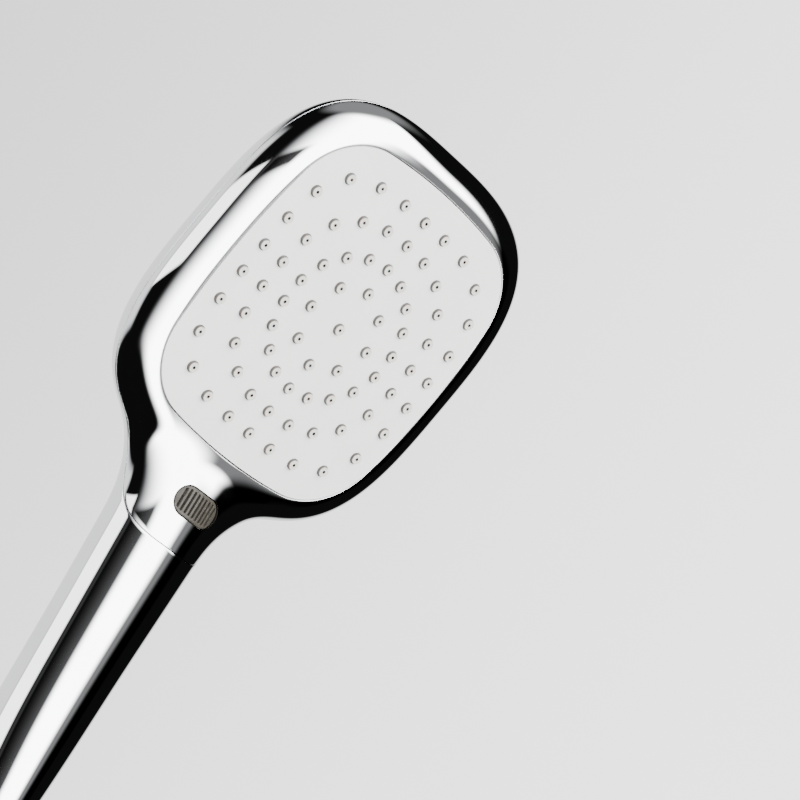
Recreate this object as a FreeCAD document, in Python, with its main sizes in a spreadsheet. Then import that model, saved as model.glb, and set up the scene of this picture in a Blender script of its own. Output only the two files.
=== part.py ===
import FreeCAD, Part
import math
import os

import Sketcher
from FreeCAD import Placement, Rotation, Vector

# Handheld shower head, millimetres.
#
# The part stands on its inlet: +Z runs up the handle to the head, -Y is the spray side and +X is to
# the right. The origin is at the centre of the inlet thread's end face.
#
# Head pieces are drawn in the head frame: x across the face, y up the face, z out of the face, with
# z = 0 at the middle of the spray plate. Button pieces are drawn in the button frame, which is the
# same turned square to the handle: x across, y up, z out through the button.

doc = FreeCAD.newDocument("hand_shower")
dims = doc.addObject("Spreadsheet::Sheet", "dims")

DIMENSIONS = [
    # Where the head and the button sit
    ("tilt", 13.5, "Lean of the spray face from the handle axis, degrees"),
    ("face_offset", 24.5, "Handle axis to the middle of the spray face"),
    ("face_height", 196.0, "Inlet to the middle of the spray face"),
    ("button_height", 130.5, "Inlet to the middle of the button"),
    # Head shell
    ("head_w", 57.6, "Half width of the head at its seam"),
    ("head_l", 61.3, "Half length of the head at its seam"),
    ("head_bow", 215.0, "Radius of the bowed sides of the head"),
    ("head_corner", 31.0, "Corner radius of the head"),
    ("seam_depth", 11.5, "Spray face to the seam between cover and housing"),
    ("dome_depth", 20.5, "Seam to the back of the dome"),
    ("wall", 2.4, "Moulded wall"),
    # Spray plate and the opening it sits in
    ("plate_w", 47.3, "Half width of the spray plate"),
    ("plate_l", 50.1, "Half length of the spray plate"),
    ("plate_bow", 200.0, "Radius of the plate's bowed sides"),
    ("plate_corner", 24.0, "Corner radius of the plate"),
    ("plate_gap", 0.4, "Gap round the plate"),
    ("plate_back", 4.7, "Depth of the plate's rim"),
    ("plate_skin", 2.3, "Skin of the plate over the nozzle mat"),
    ("crown_radius", 740.0, "Radius of the gently domed face"),
    ("mat_w", 44.4, "Half width of the nozzle mat"),
    ("mat_l", 47.2, "Half length of the nozzle mat"),
    ("mat_corner", 21.5, "Corner radius of the nozzle mat"),
    ("mat_back", 5.3, "Depth of the mat's back"),
    # Nozzles
    ("nozzle_base", 1.8, "Nozzle radius at the plate"),
    ("nozzle_tip", 1.55, "Nozzle radius at its tip"),
    ("nozzle_rise", 0.9, "Nozzle height above the plate"),
    ("nozzle_bore", 0.5, "Jet radius"),
    ("hole_play", 0.1, "Gap between nozzle and plate"),
    # Water parts behind the plate
    ("floor_front", 8.6, "Depth of the distributor floor's front"),
    ("floor_back", 10.4, "Depth of the distributor floor's back"),
    ("flange_w", 51.5, "Half width of the distributor flange"),
    ("flange_l", 55.1, "Half length of the distributor flange"),
    ("lip_back", 6.6, "Depth of the back of the cover's lip"),
    ("rim", 2.0, "Thickness of the distributor's outer wall"),
    ("divider", 1.4, "Thickness of the walls between spray rings"),
    ("inner_ring", 18.0, "Radius of the wall round the inner sprays"),
    ("middle_ring", 35.8, "Half width of the wall round the middle sprays"),
    ("port", 2.2, "Radius of the water ports"),
    ("gasket", 1.2, "Thickness of the port gasket"),
    ("waterway_back", 22.0, "Depth of the waterway's back"),
    ("screw_x", 40.6, "Screws: distance across from the middle"),
    ("screw_y", 43.6, "Screws: distance up from the middle"),
    ("screw_shank", 1.4, "Screw shank radius"),
    ("screw_head", 2.4, "Screw head radius"),
    ("boss", 3.6, "Screw boss radius"),
    # Button and diverter
    ("button_w", 17.4, "Button across the handle"),
    ("button_l", 9.2, "Button along the handle"),
    ("button_front", 12.1, "Handle axis to the button's face"),
    ("button_play", 0.3, "Gap round the button"),
    ("rib_pitch", 1.6, "Spacing of the grip grooves"),
    ("rib_groove", 0.7, "Width of a grip groove"),
    ("rib_length", 7.4, "Length of a grip groove"),
    ("rib_depth", 1.0, "Depth of a grip groove at the middle"),
    ("stem", 2.4, "Plunger stem radius"),
    ("running", 0.08, "Radial play of a running fit"),
    ("valve", 8.4, "Outer radius of the diverter body"),
    ("valve_bore", 6.6, "Bore of the diverter body"),
    ("valve_floor", 7.4, "Handle axis to the diverter's floor"),
    ("valve_top", 1.2, "Handle axis to the diverter's rim"),
    ("spring_length", 4.2, "Button spring as fitted"),
    ("outlet_pitch", 7.0, "Spacing of the three outlets"),
    ("outlet_y", 2.5, "Outlets behind the handle axis"),
    ("outlet_top", 9.0, "Button axis to the top of the outlet block"),
    # Water tube
    ("tube", 5.5, "Outer radius of the water tube"),
    ("tube_bore", 4.2, "Inner radius of the water tube"),
    ("tube_bottom", 24.5, "Inlet to the foot of the tube"),
    ("tube_top", 120.8, "Inlet to the top of the tube"),
    ("ring_cord", 0.75, "Cord radius of the large O-rings"),
    # Inlet
    ("thread", 10.4775, "G1/2 thread: outer radius"),
    ("thread_root", 9.3, "Relief behind the thread: radius"),
    ("thread_length", 10.0, "Length of the thread"),
    ("handle_foot", 12.0, "Inlet to the end of the handle"),
    ("plug", 9.9, "Radius of the connector inside the handle"),
    ("inlet_bore", 7.2, "Bore of the connector"),
    ("limiter_foot", 18.6, "Inlet to the flow limiter, above the raised check valve"),
]

for row, (alias, value, meaning) in enumerate(DIMENSIONS, start=1):
    dims.set(f"A{row}", meaning)
    dims.set(f"B{row}", str(value))
    dims.setAlias(f"B{row}", alias)
doc.recompute()

# Handle and neck, from the foot to inside the head: height, half width, front, back.
HANDLE_STATIONS = [
    (12.0, 12.4, 12.4, 12.4),
    (26.0, 13.4, 12.4, 12.4),
    (45.0, 14.9, 11.9, 11.9),
    (78.0, 16.3, 11.5, 11.5),
    (112.0, 17.8, 11.9, 11.9),
    (125.0, 19.4, 12.0, 12.2),
    (134.0, 23.4, 11.9, 12.3),
    (141.0, 30.5, 11.4, 12.1),
    (147.0, 38.0, 10.4, 11.7),
    (153.0, 40.0, 7.5, 11.2),
    (160.0, 38.0, 2.0, 10.4),
]

# The sprays, ring by ring: nozzles in the ring, its reach across the face, and how square it is.
SPRAY_RINGS = [
    (1, 0.0, 2.0),
    (8, 13.5, 2.0),
    (18, 22.6, 2.06),
    (22, 31.6, 2.58),
    (26, 40.2, 3.8),
]

# Sprays by chamber: place across and up of the port that feeds it.
PORTS = [(7.0, -12.0), (0.0, -26.0), (-7.0, -40.0)]

parts = []


def size(alias):
    """A driving dimension, as a number."""
    return float(dims.get(alias))


def bind(thing, **expressions):
    """Tie properties of a document object to the sheet."""
    for name, expression in expressions.items():
        thing.setExpression(name, str(expression))
    return thing


def add(kind, name, **expressions):
    """A document object whose sizes are expressions."""
    return bind(doc.addObject(kind, name), **expressions)


def place(thing, x=0, y=0, z=0, axis=None, angle=0):
    """Put an object at x, y, z (expressions), turned by angle about an axis."""
    thing.Placement = Placement(Vector(0, 0, 0), Rotation(axis or Vector(0, 0, 1), 10))
    thing.setExpression("Placement.Base.x", str(x))
    thing.setExpression("Placement.Base.y", str(y))
    thing.setExpression("Placement.Base.z", str(z))
    thing.setExpression("Placement.Rotation.Angle", str(angle))
    return thing


def in_head(thing):
    """Put an object drawn in the head frame where the head is."""
    return place(thing, 0, "-dims.face_offset", "dims.face_height", Vector(1, 0, 0), "90 + dims.tilt")


def in_button(thing):
    """Put an object drawn in the button frame where the button is."""
    return place(thing, 0, 0, "dims.button_height", Vector(1, 0, 0), "90")


def finish(thing, label):
    """Name a sub-part; its label is the name of its file."""
    thing.Label = label
    parts.append(thing)
    return thing


def combine(kind, name, base, *tools):
    """Cut, Common or Fuse of document objects."""
    joined = doc.addObject(kind, name)
    if kind == "Part::MultiFuse":
        joined.Shapes = [base, *tools]
        return joined
    joined.Base = base
    joined.Tool = tools[0] if len(tools) == 1 else combine("Part::MultiFuse", name + "_tools", *tools)
    return joined


def cylinder(name, radius, low, high, x=0, y=0):
    """An upright cylinder between two heights of its own frame."""
    body = add("Part::Cylinder", name, Radius=radius, Height=f"({high}) - ({low})")
    return place(body, x, y, low)


def box(name, x_low, x_high, y_low, y_high, z_low, z_high):
    """A box between two corners."""
    body = add(
        "Part::Box", name,
        Length=f"({x_high}) - ({x_low})", Width=f"({y_high}) - ({y_low})", Height=f"({z_high}) - ({z_low})",
    )
    return place(body, x_low, y_low, z_low)


def o_ring(name, radius, cord, height):
    """A torus about its frame's z axis."""
    return place(add("Part::Torus", name, Radius1=radius, Radius2=cord), 0, 0, height)


def value_of(expression):
    """The present value of a sheet expression."""
    return float(dims.evalExpression(str(expression)))


def polygon_sketch(sketch, corners):
    """Straight outline whose corners are pairs of sheet expressions, each held by two distances."""
    points = [Vector(value_of(x), value_of(y), 0) for x, y in corners]
    for start, end in zip(points, points[1:] + points[:1]):
        sketch.addGeometry(Part.LineSegment(start, end), False)
    count = len(points)
    for i in range(count):
        sketch.addConstraint(Sketcher.Constraint("Coincident", i, 2, (i + 1) % count, 1))
    for i, (x, y) in enumerate(corners):
        across = sketch.addConstraint(Sketcher.Constraint("DistanceX", -1, 1, i, 1, points[i].x))
        sketch.setExpression(f"Constraints[{across}]", str(x))
        up = sketch.addConstraint(Sketcher.Constraint("DistanceY", -1, 1, i, 1, points[i].y))
        sketch.setExpression(f"Constraints[{up}]", str(y))
    return sketch


def plane_of(body, role):
    """One of a body's own origin planes."""
    return next(item for item in body.Origin.OriginFeatures if item.Role == role)


def sketch_on(body, name, role, depth=0):
    """A sketch on a plane of its own body, moved out along the plane's normal."""
    sketch = body.newObject("Sketcher::SketchObject", name)
    sketch.AttachmentSupport = [(plane_of(body, role), "")]
    sketch.MapMode = "FlatFace"
    sketch.setExpression("AttachmentOffset.Base.z", str(depth))
    return sketch


def turned(name, corners):
    """A body turned about its z axis from an outline of radius and height pairs."""
    body = doc.addObject("PartDesign::Body", name)
    profile = polygon_sketch(sketch_on(body, name + "_profile", "XZ_Plane"), corners)
    turn = body.newObject("PartDesign::Revolution", name + "_turn")
    turn.Profile = profile
    turn.ReferenceAxis = (profile, ["V_Axis"])
    turn.Angle = 360
    return body


def ring_of_rows(inner, outer, low, high):
    """The four corners of a plain ring's section."""
    return [(inner, low), (outer, low), (outer, high), (inner, high)]


def bowed_square(sketch, half_w, half_l, bow, corner):
    """Square outline with bowed sides and round corners: eight tangent arcs, symmetric both ways."""
    w, l, big, small = (value_of(each) for each in (half_w, half_l, bow, corner))
    # The corner's centre is big - small away from the centres of the side arc and the top arc.
    reach = big - small
    side, top = Vector(w - big, 0, 0), Vector(0, l - big, 0)
    middle, apart = (side + top) * 0.5, (top - side)
    rise = math.sqrt(reach ** 2 - (apart.Length / 2) ** 2)
    normal = Vector(apart.y, -apart.x, 0).normalize()
    if normal.x < 0:
        normal = normal * -1
    knee = middle + normal * rise
    low = math.atan2(knee.y - side.y, knee.x - side.x)
    high = math.atan2(knee.y - top.y, knee.x - top.x)
    turns = [
        (side, big, -low, low),
        (knee, small, low, high),
        (top, big, high, math.pi - high),
        (Vector(-knee.x, knee.y, 0), small, math.pi - high, math.pi - low),
        (Vector(-side.x, 0, 0), big, math.pi - low, math.pi + low),
        (Vector(-knee.x, -knee.y, 0), small, math.pi + low, math.pi + high),
        (Vector(0, -top.y, 0), big, math.pi + high, -high),
        (Vector(knee.x, -knee.y, 0), small, -high, -low),
    ]
    for centre, radius, start, end in turns:
        if end < start:
            end += 2 * math.pi
        circle = Part.Circle(centre, Vector(0, 0, 1), radius)
        sketch.addGeometry(Part.ArcOfCircle(circle, start, end), False)
    constrain = sketch.addConstraint
    for i in range(8):
        constrain(Sketcher.Constraint("Tangent", i, 2, (i + 1) % 8, 1))
    for arc, axis in ((0, -1), (4, -1), (2, -2), (6, -2)):
        constrain(Sketcher.Constraint("PointOnObject", arc, 3, axis))
    for first, others, radius in ((0, (2, 4, 6), bow), (1, (3, 5, 7), corner)):
        held = constrain(Sketcher.Constraint("Radius", first, turns[first][1]))
        sketch.setExpression(f"Constraints[{held}]", str(radius))
        for other in others:
            constrain(Sketcher.Constraint("Equal", first, other))
    offsets = [
        ("DistanceX", 0, f"({half_w}) - ({bow})"),
        ("DistanceX", 4, f"({bow}) - ({half_w})"),
        ("DistanceY", 2, f"({half_l}) - ({bow})"),
        ("DistanceY", 6, f"({bow}) - ({half_l})"),
    ]
    for kind, arc, offset in offsets:
        held = constrain(Sketcher.Constraint(kind, -1, 1, arc, 3, value_of(offset)))
        sketch.setExpression(f"Constraints[{held}]", offset)
    return sketch


def square_section(name, half_w, half_l, bow, corner, depth):
    """A free bowed-square outline at a depth of the head frame."""
    sketch = doc.addObject("Sketcher::SketchObject", name)
    bowed_square(sketch, half_w, half_l, bow, corner)
    return place(sketch, 0, 0, f"-({depth})")


def square_pad(name, half_w, half_l, bow, corner, front, back):
    """A bowed-square slab between two depths of the head frame."""
    body = doc.addObject("PartDesign::Body", name)
    sketch = sketch_on(body, name + "_outline", "XY_Plane", f"-({back})")
    bowed_square(sketch, half_w, half_l, bow, corner)
    pad = body.newObject("PartDesign::Pad", name + "_pad")
    pad.Profile = sketch
    pad.setExpression("Length", f"({back}) - ({front})")
    return body


def plate_slab(name, grow, front, back):
    """A slab with the plate's outline, grown or shrunk by an offset."""
    return square_pad(
        name, f"dims.plate_w + {grow}", f"dims.plate_l + {grow}", "dims.plate_bow",
        f"dims.plate_corner + {grow}", front, back,
    )


def mat_slab(name, grow, front, back):
    """A slab with the nozzle mat's outline, grown or shrunk by an offset."""
    return square_pad(
        name, f"dims.mat_w + {grow}", f"dims.mat_l + {grow}", "dims.plate_bow",
        f"dims.mat_corner + {grow}", front, back,
    )


def loft(name, sections):
    """A smooth solid through closed outlines."""
    skin = doc.addObject("Part::Loft", name)
    skin.Sections = sections
    skin.Solid = True
    skin.Ruled = False
    return skin


def crown(name, drop):
    """The big ball whose top is the domed face, a given depth below the face."""
    ball = add("Part::Sphere", name, Radius=f"dims.crown_radius - ({drop})")
    return place(ball, 0, 0, "-dims.crown_radius")


def nozzle_places():
    """Every nozzle's place across and up the face."""
    places = []
    for count, reach, power in SPRAY_RINGS:
        for i in range(count):
            turn = 2 * math.pi * i / count
            across, up = math.sin(turn), math.cos(turn)
            stretch = (abs(across) ** power + abs(up) ** power) ** (1 / power)
            places.append((reach * across / stretch, reach * up / stretch))
    return places


def face_depth(x, y):
    """Depth of the domed face at a place on it."""
    return size("crown_radius") - math.sqrt(size("crown_radius") ** 2 - x * x - y * y)


# ---------------------------------------------------------------- shells

def dome(name, shrink):
    """The back half of the head: outlines that shrink as an ellipse does towards the back."""
    outlines = []
    for i, k in enumerate((0.0, 0.3, 0.55, 0.75, 0.9, 0.98)):
        narrow = math.sqrt(1 - k * k)
        outlines.append(square_section(
            f"{name}_section_{i}",
            f"(dims.head_w - {shrink}) * {narrow}", f"(dims.head_l - {shrink}) * {narrow}",
            f"dims.head_bow * {narrow}", f"(dims.head_corner - {shrink}) * {narrow}",
            f"dims.seam_depth + (dims.dome_depth - {shrink}) * {k}",
        ))
    return in_head(loft(name, outlines))


def brow(name, shrink, front):
    """The front half of the head, from the seam out to the plate: a quarter ellipse in section."""
    outlines = []
    for i, k in enumerate((0.0, 0.35, 0.65, 0.88, 1.0)):
        inset = f"({shrink} + (dims.head_w - dims.plate_w - 0.8) * {1 - math.sqrt(1 - 0.94 * k * k)})"
        outlines.append(square_section(
            f"{name}_section_{i}",
            f"dims.head_w - {inset}", f"dims.head_l - {inset}", "dims.head_bow",
            f"dims.head_corner - {inset} * 0.6", f"dims.seam_depth - (dims.seam_depth - {front}) * {k}",
        ))
    return in_head(loft(name, outlines))


def handle(name, shrink, stations):
    """Handle and neck: oval sections up the handle."""
    ovals = []
    for i, (height, half_w, front, back) in enumerate(stations):
        oval = add(
            "Part::Ellipse", f"{name}_section_{i}",
            MajorRadius=f"{half_w} - {shrink}", MinorRadius=f"{(front + back) / 2} - {shrink}",
        )
        ovals.append(place(oval, 0, (back - front) / 2, height))
    return loft(name, ovals)


def seam_block():
    """Everything in front of the seam, as seen from the side: down the side of the head, then round
    to the front of the neck under the button."""
    wide = 80
    lean = math.radians(size("tilt"))
    depth = size("seam_depth")
    out, up = Vector(0, -math.cos(lean), -math.sin(lean)), Vector(0, -math.sin(lean), math.cos(lean))
    seam = Vector(-wide, -size("face_offset"), size("face_height")) - out * depth
    top = seam + up * 90
    knee = Vector(-wide, 0.4, size("face_height") - 59.5)
    turn = Vector(-wide, 0.4, size("face_height") - 67.0)
    middle = Vector(-wide, -3.4, size("face_height") - 75.6)
    foot = Vector(-wide, -11.0, size("face_height") - 80.2)
    front = Vector(-wide, -60, size("face_height") - 84)
    far = Vector(-wide, -60, size("face_height") + 90)
    edges = [
        Part.LineSegment(top, knee).toShape(),
        Part.LineSegment(knee, turn).toShape(),
        Part.Arc(turn, middle, foot).toShape(),
        Part.LineSegment(foot, front).toShape(),
        Part.LineSegment(front, far).toShape(),
        Part.LineSegment(far, top).toShape(),
    ]
    block = doc.addObject("Part::Feature", "seam_block")
    block.Shape = Part.Face(Part.Wire(edges)).extrude(Vector(2 * wide, 0, 0))
    return block


def button_prism(name, grow, low, high):
    """The button's outline, a slot with round ends, as a prism in the button frame."""
    body = doc.addObject("PartDesign::Body", name)
    sketch = sketch_on(body, name + "_outline", "XY_Plane", low)
    half = value_of(f"dims.button_l / 2 + {grow}")
    run = value_of("(dims.button_w - dims.button_l) / 2")
    sketch.addGeometry(Part.LineSegment(Vector(-run, -half, 0), Vector(run, -half, 0)), False)
    right = Part.Circle(Vector(run, 0, 0), Vector(0, 0, 1), half)
    sketch.addGeometry(Part.ArcOfCircle(right, -math.pi / 2, math.pi / 2), False)
    sketch.addGeometry(Part.LineSegment(Vector(run, half, 0), Vector(-run, half, 0)), False)
    left = Part.Circle(Vector(-run, 0, 0), Vector(0, 0, 1), half)
    sketch.addGeometry(Part.ArcOfCircle(left, math.pi / 2, 3 * math.pi / 2), False)
    for i in range(4):
        sketch.addConstraint(Sketcher.Constraint("Tangent", i, 2, (i + 1) % 4, 1))
    sketch.addConstraint(Sketcher.Constraint("Horizontal", 0))
    sketch.addConstraint(Sketcher.Constraint("Symmetric", 1, 3, 3, 3, -1, 1))
    held = sketch.addConstraint(Sketcher.Constraint("Radius", 1, half))
    sketch.setExpression(f"Constraints[{held}]", f"dims.button_l / 2 + {grow}")
    held = sketch.addConstraint(Sketcher.Constraint("DistanceX", 3, 3, 1, 3, 2 * run))
    sketch.setExpression(f"Constraints[{held}]", "dims.button_w - dims.button_l")
    pad = body.newObject("PartDesign::Pad", name + "_pad")
    pad.Profile = sketch
    pad.setExpression("Length", f"({high}) - ({low})")
    return body


def screw_spots():
    """The four screws: signs across and up."""
    return [(across, up) for across in (-1, 1) for up in (-1, 1)]


def make_shells():
    """Front cover and rear housing: one skin, hollowed and split along the seam."""
    skin = combine(
        "Part::MultiFuse", "skin",
        dome("dome", 0), brow("brow", 0, 2.5), handle("grip", 0, HANDLE_STATIONS),
    )
    hollow_stations = [(11.0, 12.4, 12.4, 12.4)] + HANDLE_STATIONS[1:-1]
    hollow = combine(
        "Part::MultiFuse", "hollow",
        dome("dome_hollow", "dims.wall"), brow("brow_hollow", "dims.wall", "dims.lip_back"),
        handle("grip_hollow", "dims.wall", hollow_stations),
    )
    seam = seam_block()

    mouth = combine(
        "Part::MultiFuse", "mouth",
        in_head(plate_slab("plate_opening", "dims.plate_gap", "-4", "dims.plate_back + 0.1")),
        in_head(mat_slab("mat_opening", "0.5", 0, "dims.seam_depth + 2")),
    )
    window = in_button(button_prism("button_window", "dims.button_play", 5, 20))
    front = combine("Part::Common", "front_block", skin, seam)
    finish(combine("Part::Cut", "front_cover_cut", front, hollow, mouth, window), "front_cover")

    bosses = []
    pilots = []
    for number, (across, up) in enumerate(screw_spots()):
        spot = (f"{across} * dims.screw_x", f"{up} * dims.screw_y")
        boss = cylinder(f"boss_{number}", "dims.boss", 0, 12)
        bosses.append(in_head_at(boss, *spot, "dims.floor_back + 12"))
        pilots.append(in_head_at(cylinder(f"pilot_{number}", "dims.screw_shank - 0.15", 0, 7), *spot,
                                 "dims.floor_back + 7"))
    posts = combine("Part::Common", "posts", combine("Part::MultiFuse", "post_set", *bosses), skin)
    shell = combine("Part::Cut", "rear_shell", skin, hollow, seam)
    socket = cylinder("connector_socket", "dims.plug + 0.05", "dims.handle_foot - 1", 25.5)
    housed = combine("Part::MultiFuse", "rear_with_posts", shell, posts)
    finish(combine("Part::Cut", "rear_housing_cut", housed, socket, *pilots), "rear_housing")


def in_head_at(thing, x, y, depth):
    """Put an object drawn about its own z axis at a place in the head frame."""
    thing.Placement = Placement(Vector(0, 0, 0), Rotation(Vector(1, 0, 0), 10))
    thing.setExpression("Placement.Base.x", str(x))
    thing.setExpression(
        "Placement.Base.y", f"-dims.face_offset - ({y}) * sin(dims.tilt) + ({depth}) * cos(dims.tilt)")
    thing.setExpression(
        "Placement.Base.z", f"dims.face_height + ({y}) * cos(dims.tilt) + ({depth}) * sin(dims.tilt)")
    thing.setExpression("Placement.Rotation.Angle", "90 + dims.tilt")
    return thing


# ---------------------------------------------------------------- spray face

def make_plate():
    """Spray plate: domed slab, hollow behind for the nozzle mat, one hole for each nozzle."""
    slab = plate_slab("plate_slab", 0, "-1", "dims.plate_back")
    crowned = combine("Part::Common", "plate_crowned", slab, crown("plate_crown", 0))
    pocket = combine(
        "Part::Common", "plate_pocket",
        mat_slab("plate_pocket_slab", "0.1", 0, 8), crown("plate_pocket_crown", "dims.plate_skin"),
    )
    radius = size("nozzle_base") + size("hole_play")
    holes = doc.addObject("Part::Feature", "plate_holes")
    holes.Shape = Part.makeCompound(
        [Part.makeCylinder(radius, 12, Vector(x, y, -8)) for x, y in nozzle_places()])
    finish(in_head(combine("Part::Cut", "spray_plate_cut", crowned, pocket, holes)), "spray_plate")


def nozzle(x, y):
    """One silicone nozzle: a slightly tapered tube through the plate."""
    level = -face_depth(x, y)
    foot = level - size("plate_skin") - 0.4
    rim = level - 0.2
    tip = level + size("nozzle_rise")
    base = Part.makeCylinder(size("nozzle_base"), rim - foot, Vector(x, y, foot))
    nose = Part.makeCone(size("nozzle_base"), size("nozzle_tip"), tip - rim, Vector(x, y, rim))
    return base.fuse(nose)


def make_mat():
    """Nozzle mat: one soft sheet with all the nozzles and their jets."""
    sheet = combine(
        "Part::Common", "mat_sheet",
        mat_slab("mat_slab", 0, 0, "dims.mat_back"), crown("mat_crown", "dims.plate_skin + 0.1"),
    )
    spots = nozzle_places()
    nozzles = doc.addObject("Part::Feature", "nozzles")
    nozzles.Shape = Part.makeCompound([nozzle(x, y) for x, y in spots])
    jets = doc.addObject("Part::Feature", "jets")
    jets.Shape = Part.makeCompound(
        [Part.makeCylinder(size("nozzle_bore"), 12, Vector(x, y, -8)) for x, y in spots])
    whole = combine("Part::MultiFuse", "mat_whole", sheet, nozzles)
    finish(in_head(combine("Part::Cut", "nozzle_mat_cut", whole, jets)), "nozzle_mat")


def make_face_gasket():
    """Gasket between the cover's lip and the distributor's flange."""
    outer = mat_slab("gasket_outer", "1.7", "dims.lip_back", "dims.floor_front")
    inner = mat_slab("gasket_inner", "0.2", "dims.lip_back - 1", "dims.floor_front + 1")
    finish(in_head(combine("Part::Cut", "face_gasket_cut", outer, inner)), "face_gasket")


def make_distributor():
    """Distributor: a flanged tray whose walls part the water between the three spray rings."""
    flange = square_pad(
        "distributor_flange", "dims.flange_w", "dims.flange_l", "dims.plate_bow", "dims.mat_corner + 2.5",
        "dims.floor_front", "dims.floor_back",
    )
    rim = combine(
        "Part::Cut", "distributor_rim",
        mat_slab("rim_outer", "-0.1", "dims.mat_back + 0.05", "dims.floor_front + 0.2"),
        mat_slab("rim_inner", "-0.1 - dims.rim", 0, "dims.floor_front + 1"),
    )
    middle_w = "dims.middle_ring"
    middle = combine(
        "Part::Cut", "distributor_middle",
        square_pad("middle_outer", middle_w, middle_w, "dims.plate_bow", 19, "dims.mat_back + 0.05",
                   "dims.floor_front + 0.2"),
        square_pad("middle_inner", f"{middle_w} - dims.divider", f"{middle_w} - dims.divider",
                   "dims.plate_bow", 17.6, 0, "dims.floor_front + 1"),
    )
    inner = combine(
        "Part::Cut", "distributor_inner",
        cylinder("inner_outer", "dims.inner_ring", "-dims.floor_front - 0.2", "-dims.mat_back - 0.05"),
        cylinder("inner_inner", "dims.inner_ring - dims.divider", "-dims.floor_front - 1", 0),
    )
    tray = combine("Part::MultiFuse", "distributor_tray", flange, rim, middle, inner)
    holes = [
        cylinder(f"distributor_port_{i}", "dims.port", -20, 0, x, y) for i, (x, y) in enumerate(PORTS)]
    for number, (across, up) in enumerate(screw_spots()):
        holes.append(cylinder(f"distributor_screw_{number}", "dims.screw_shank + 0.2", -20, 0,
                              f"{across} * dims.screw_x", f"{up} * dims.screw_y"))
    finish(in_head(combine("Part::Cut", "distributor_cut", tray, *holes)), "distributor")


def make_screws():
    """Four self-tapping screws through the flange into the bosses of the housing."""
    screws = []
    for number, (across, up) in enumerate(screw_spots()):
        screw = turned(f"screw_{number}", [
            (0, -8), ("0.4", -8), ("dims.screw_shank", "-6.6"), ("dims.screw_shank", 0),
            ("dims.screw_head", 0), ("dims.screw_head", "0.6"), ("dims.screw_head * 0.72", "1.2"),
            (0, "1.2"),
        ])
        slots = [box(f"screw_slot_{number}_0", -1.4, 1.4, -0.3, 0.3, 0.5, 3),
                 box(f"screw_slot_{number}_1", -0.3, 0.3, -1.4, 1.4, 0.5, 3)]
        driven = combine("Part::Cut", f"screw_{number}_cut", screw, *slots)
        screws.append(in_head_at(driven, f"{across} * dims.screw_x", f"{up} * dims.screw_y",
                                 "dims.floor_front"))
    group = doc.addObject("Part::Compound", "screw_group")
    group.Links = screws
    finish(group, "chassis_screws")


# ---------------------------------------------------------------- waterway

def make_waterway():
    """Waterway: block behind the distributor with three channels down to the diverter."""
    front = "dims.floor_back + dims.gasket"
    block = box("waterway_block", -17, 17, -46, -6, "-dims.waterway_back", f"-({front})")
    rounded = doc.addObject("Part::Fillet", "waterway_rounded")
    rounded.Base = block
    doc.recompute()
    upright = [i for i, edge in enumerate(block.Shape.Edges, start=1) if edge.BoundBox.ZLength > 5]
    rounded.Edges = [(i, 6.0, 6.0) for i in upright]
    in_head(rounded)
    base = "dims.button_height + dims.outlet_top"
    neck = box("waterway_neck", -10.5, 10.5, "dims.outlet_y - 3.6", "dims.outlet_y + 3.4", base, 156)
    body = combine("Part::MultiFuse", "waterway_body", rounded, neck)
    cuts = []
    middle = 17.0
    for i, (x, y) in enumerate(PORTS):
        run = cylinder(f"channel_{i}", "dims.port", 0, 0.5 + y + 50)
        run.Placement = Placement(Vector(0, 0, 0), Rotation(Vector(1, 0, 0), 10))
        place(run, x, f"-dims.face_offset + 50 * sin(dims.tilt) + {middle} * cos(dims.tilt)",
              f"dims.face_height - 50 * cos(dims.tilt) + {middle} * sin(dims.tilt)",
              Vector(1, 0, 0), "dims.tilt")
        mouth = in_head_at(cylinder(f"channel_mouth_{i}", "dims.port", 0, 8), x, y, middle)
        rise = cylinder(f"channel_rise_{i}", "dims.port - 0.2", f"{base} - 1", 154, x, "dims.outlet_y")
        cuts += [run, mouth, rise]
    finish(combine("Part::Cut", "waterway_cut", body, *cuts), "waterway")


def make_port_gasket():
    """Rubber gasket between the distributor and the waterway, with the three ports."""
    sheet = box("port_gasket_sheet", -15, 15, -44.5, -7.5, "-dims.floor_back - dims.gasket",
                "-dims.floor_back")
    holes = [cylinder(f"gasket_port_{i}", "dims.port", -20, 0, x, y) for i, (x, y) in enumerate(PORTS)]
    finish(in_head(combine("Part::Cut", "port_gasket_cut", sheet, *holes)), "port_gasket")


# ---------------------------------------------------------------- diverter and button

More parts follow.
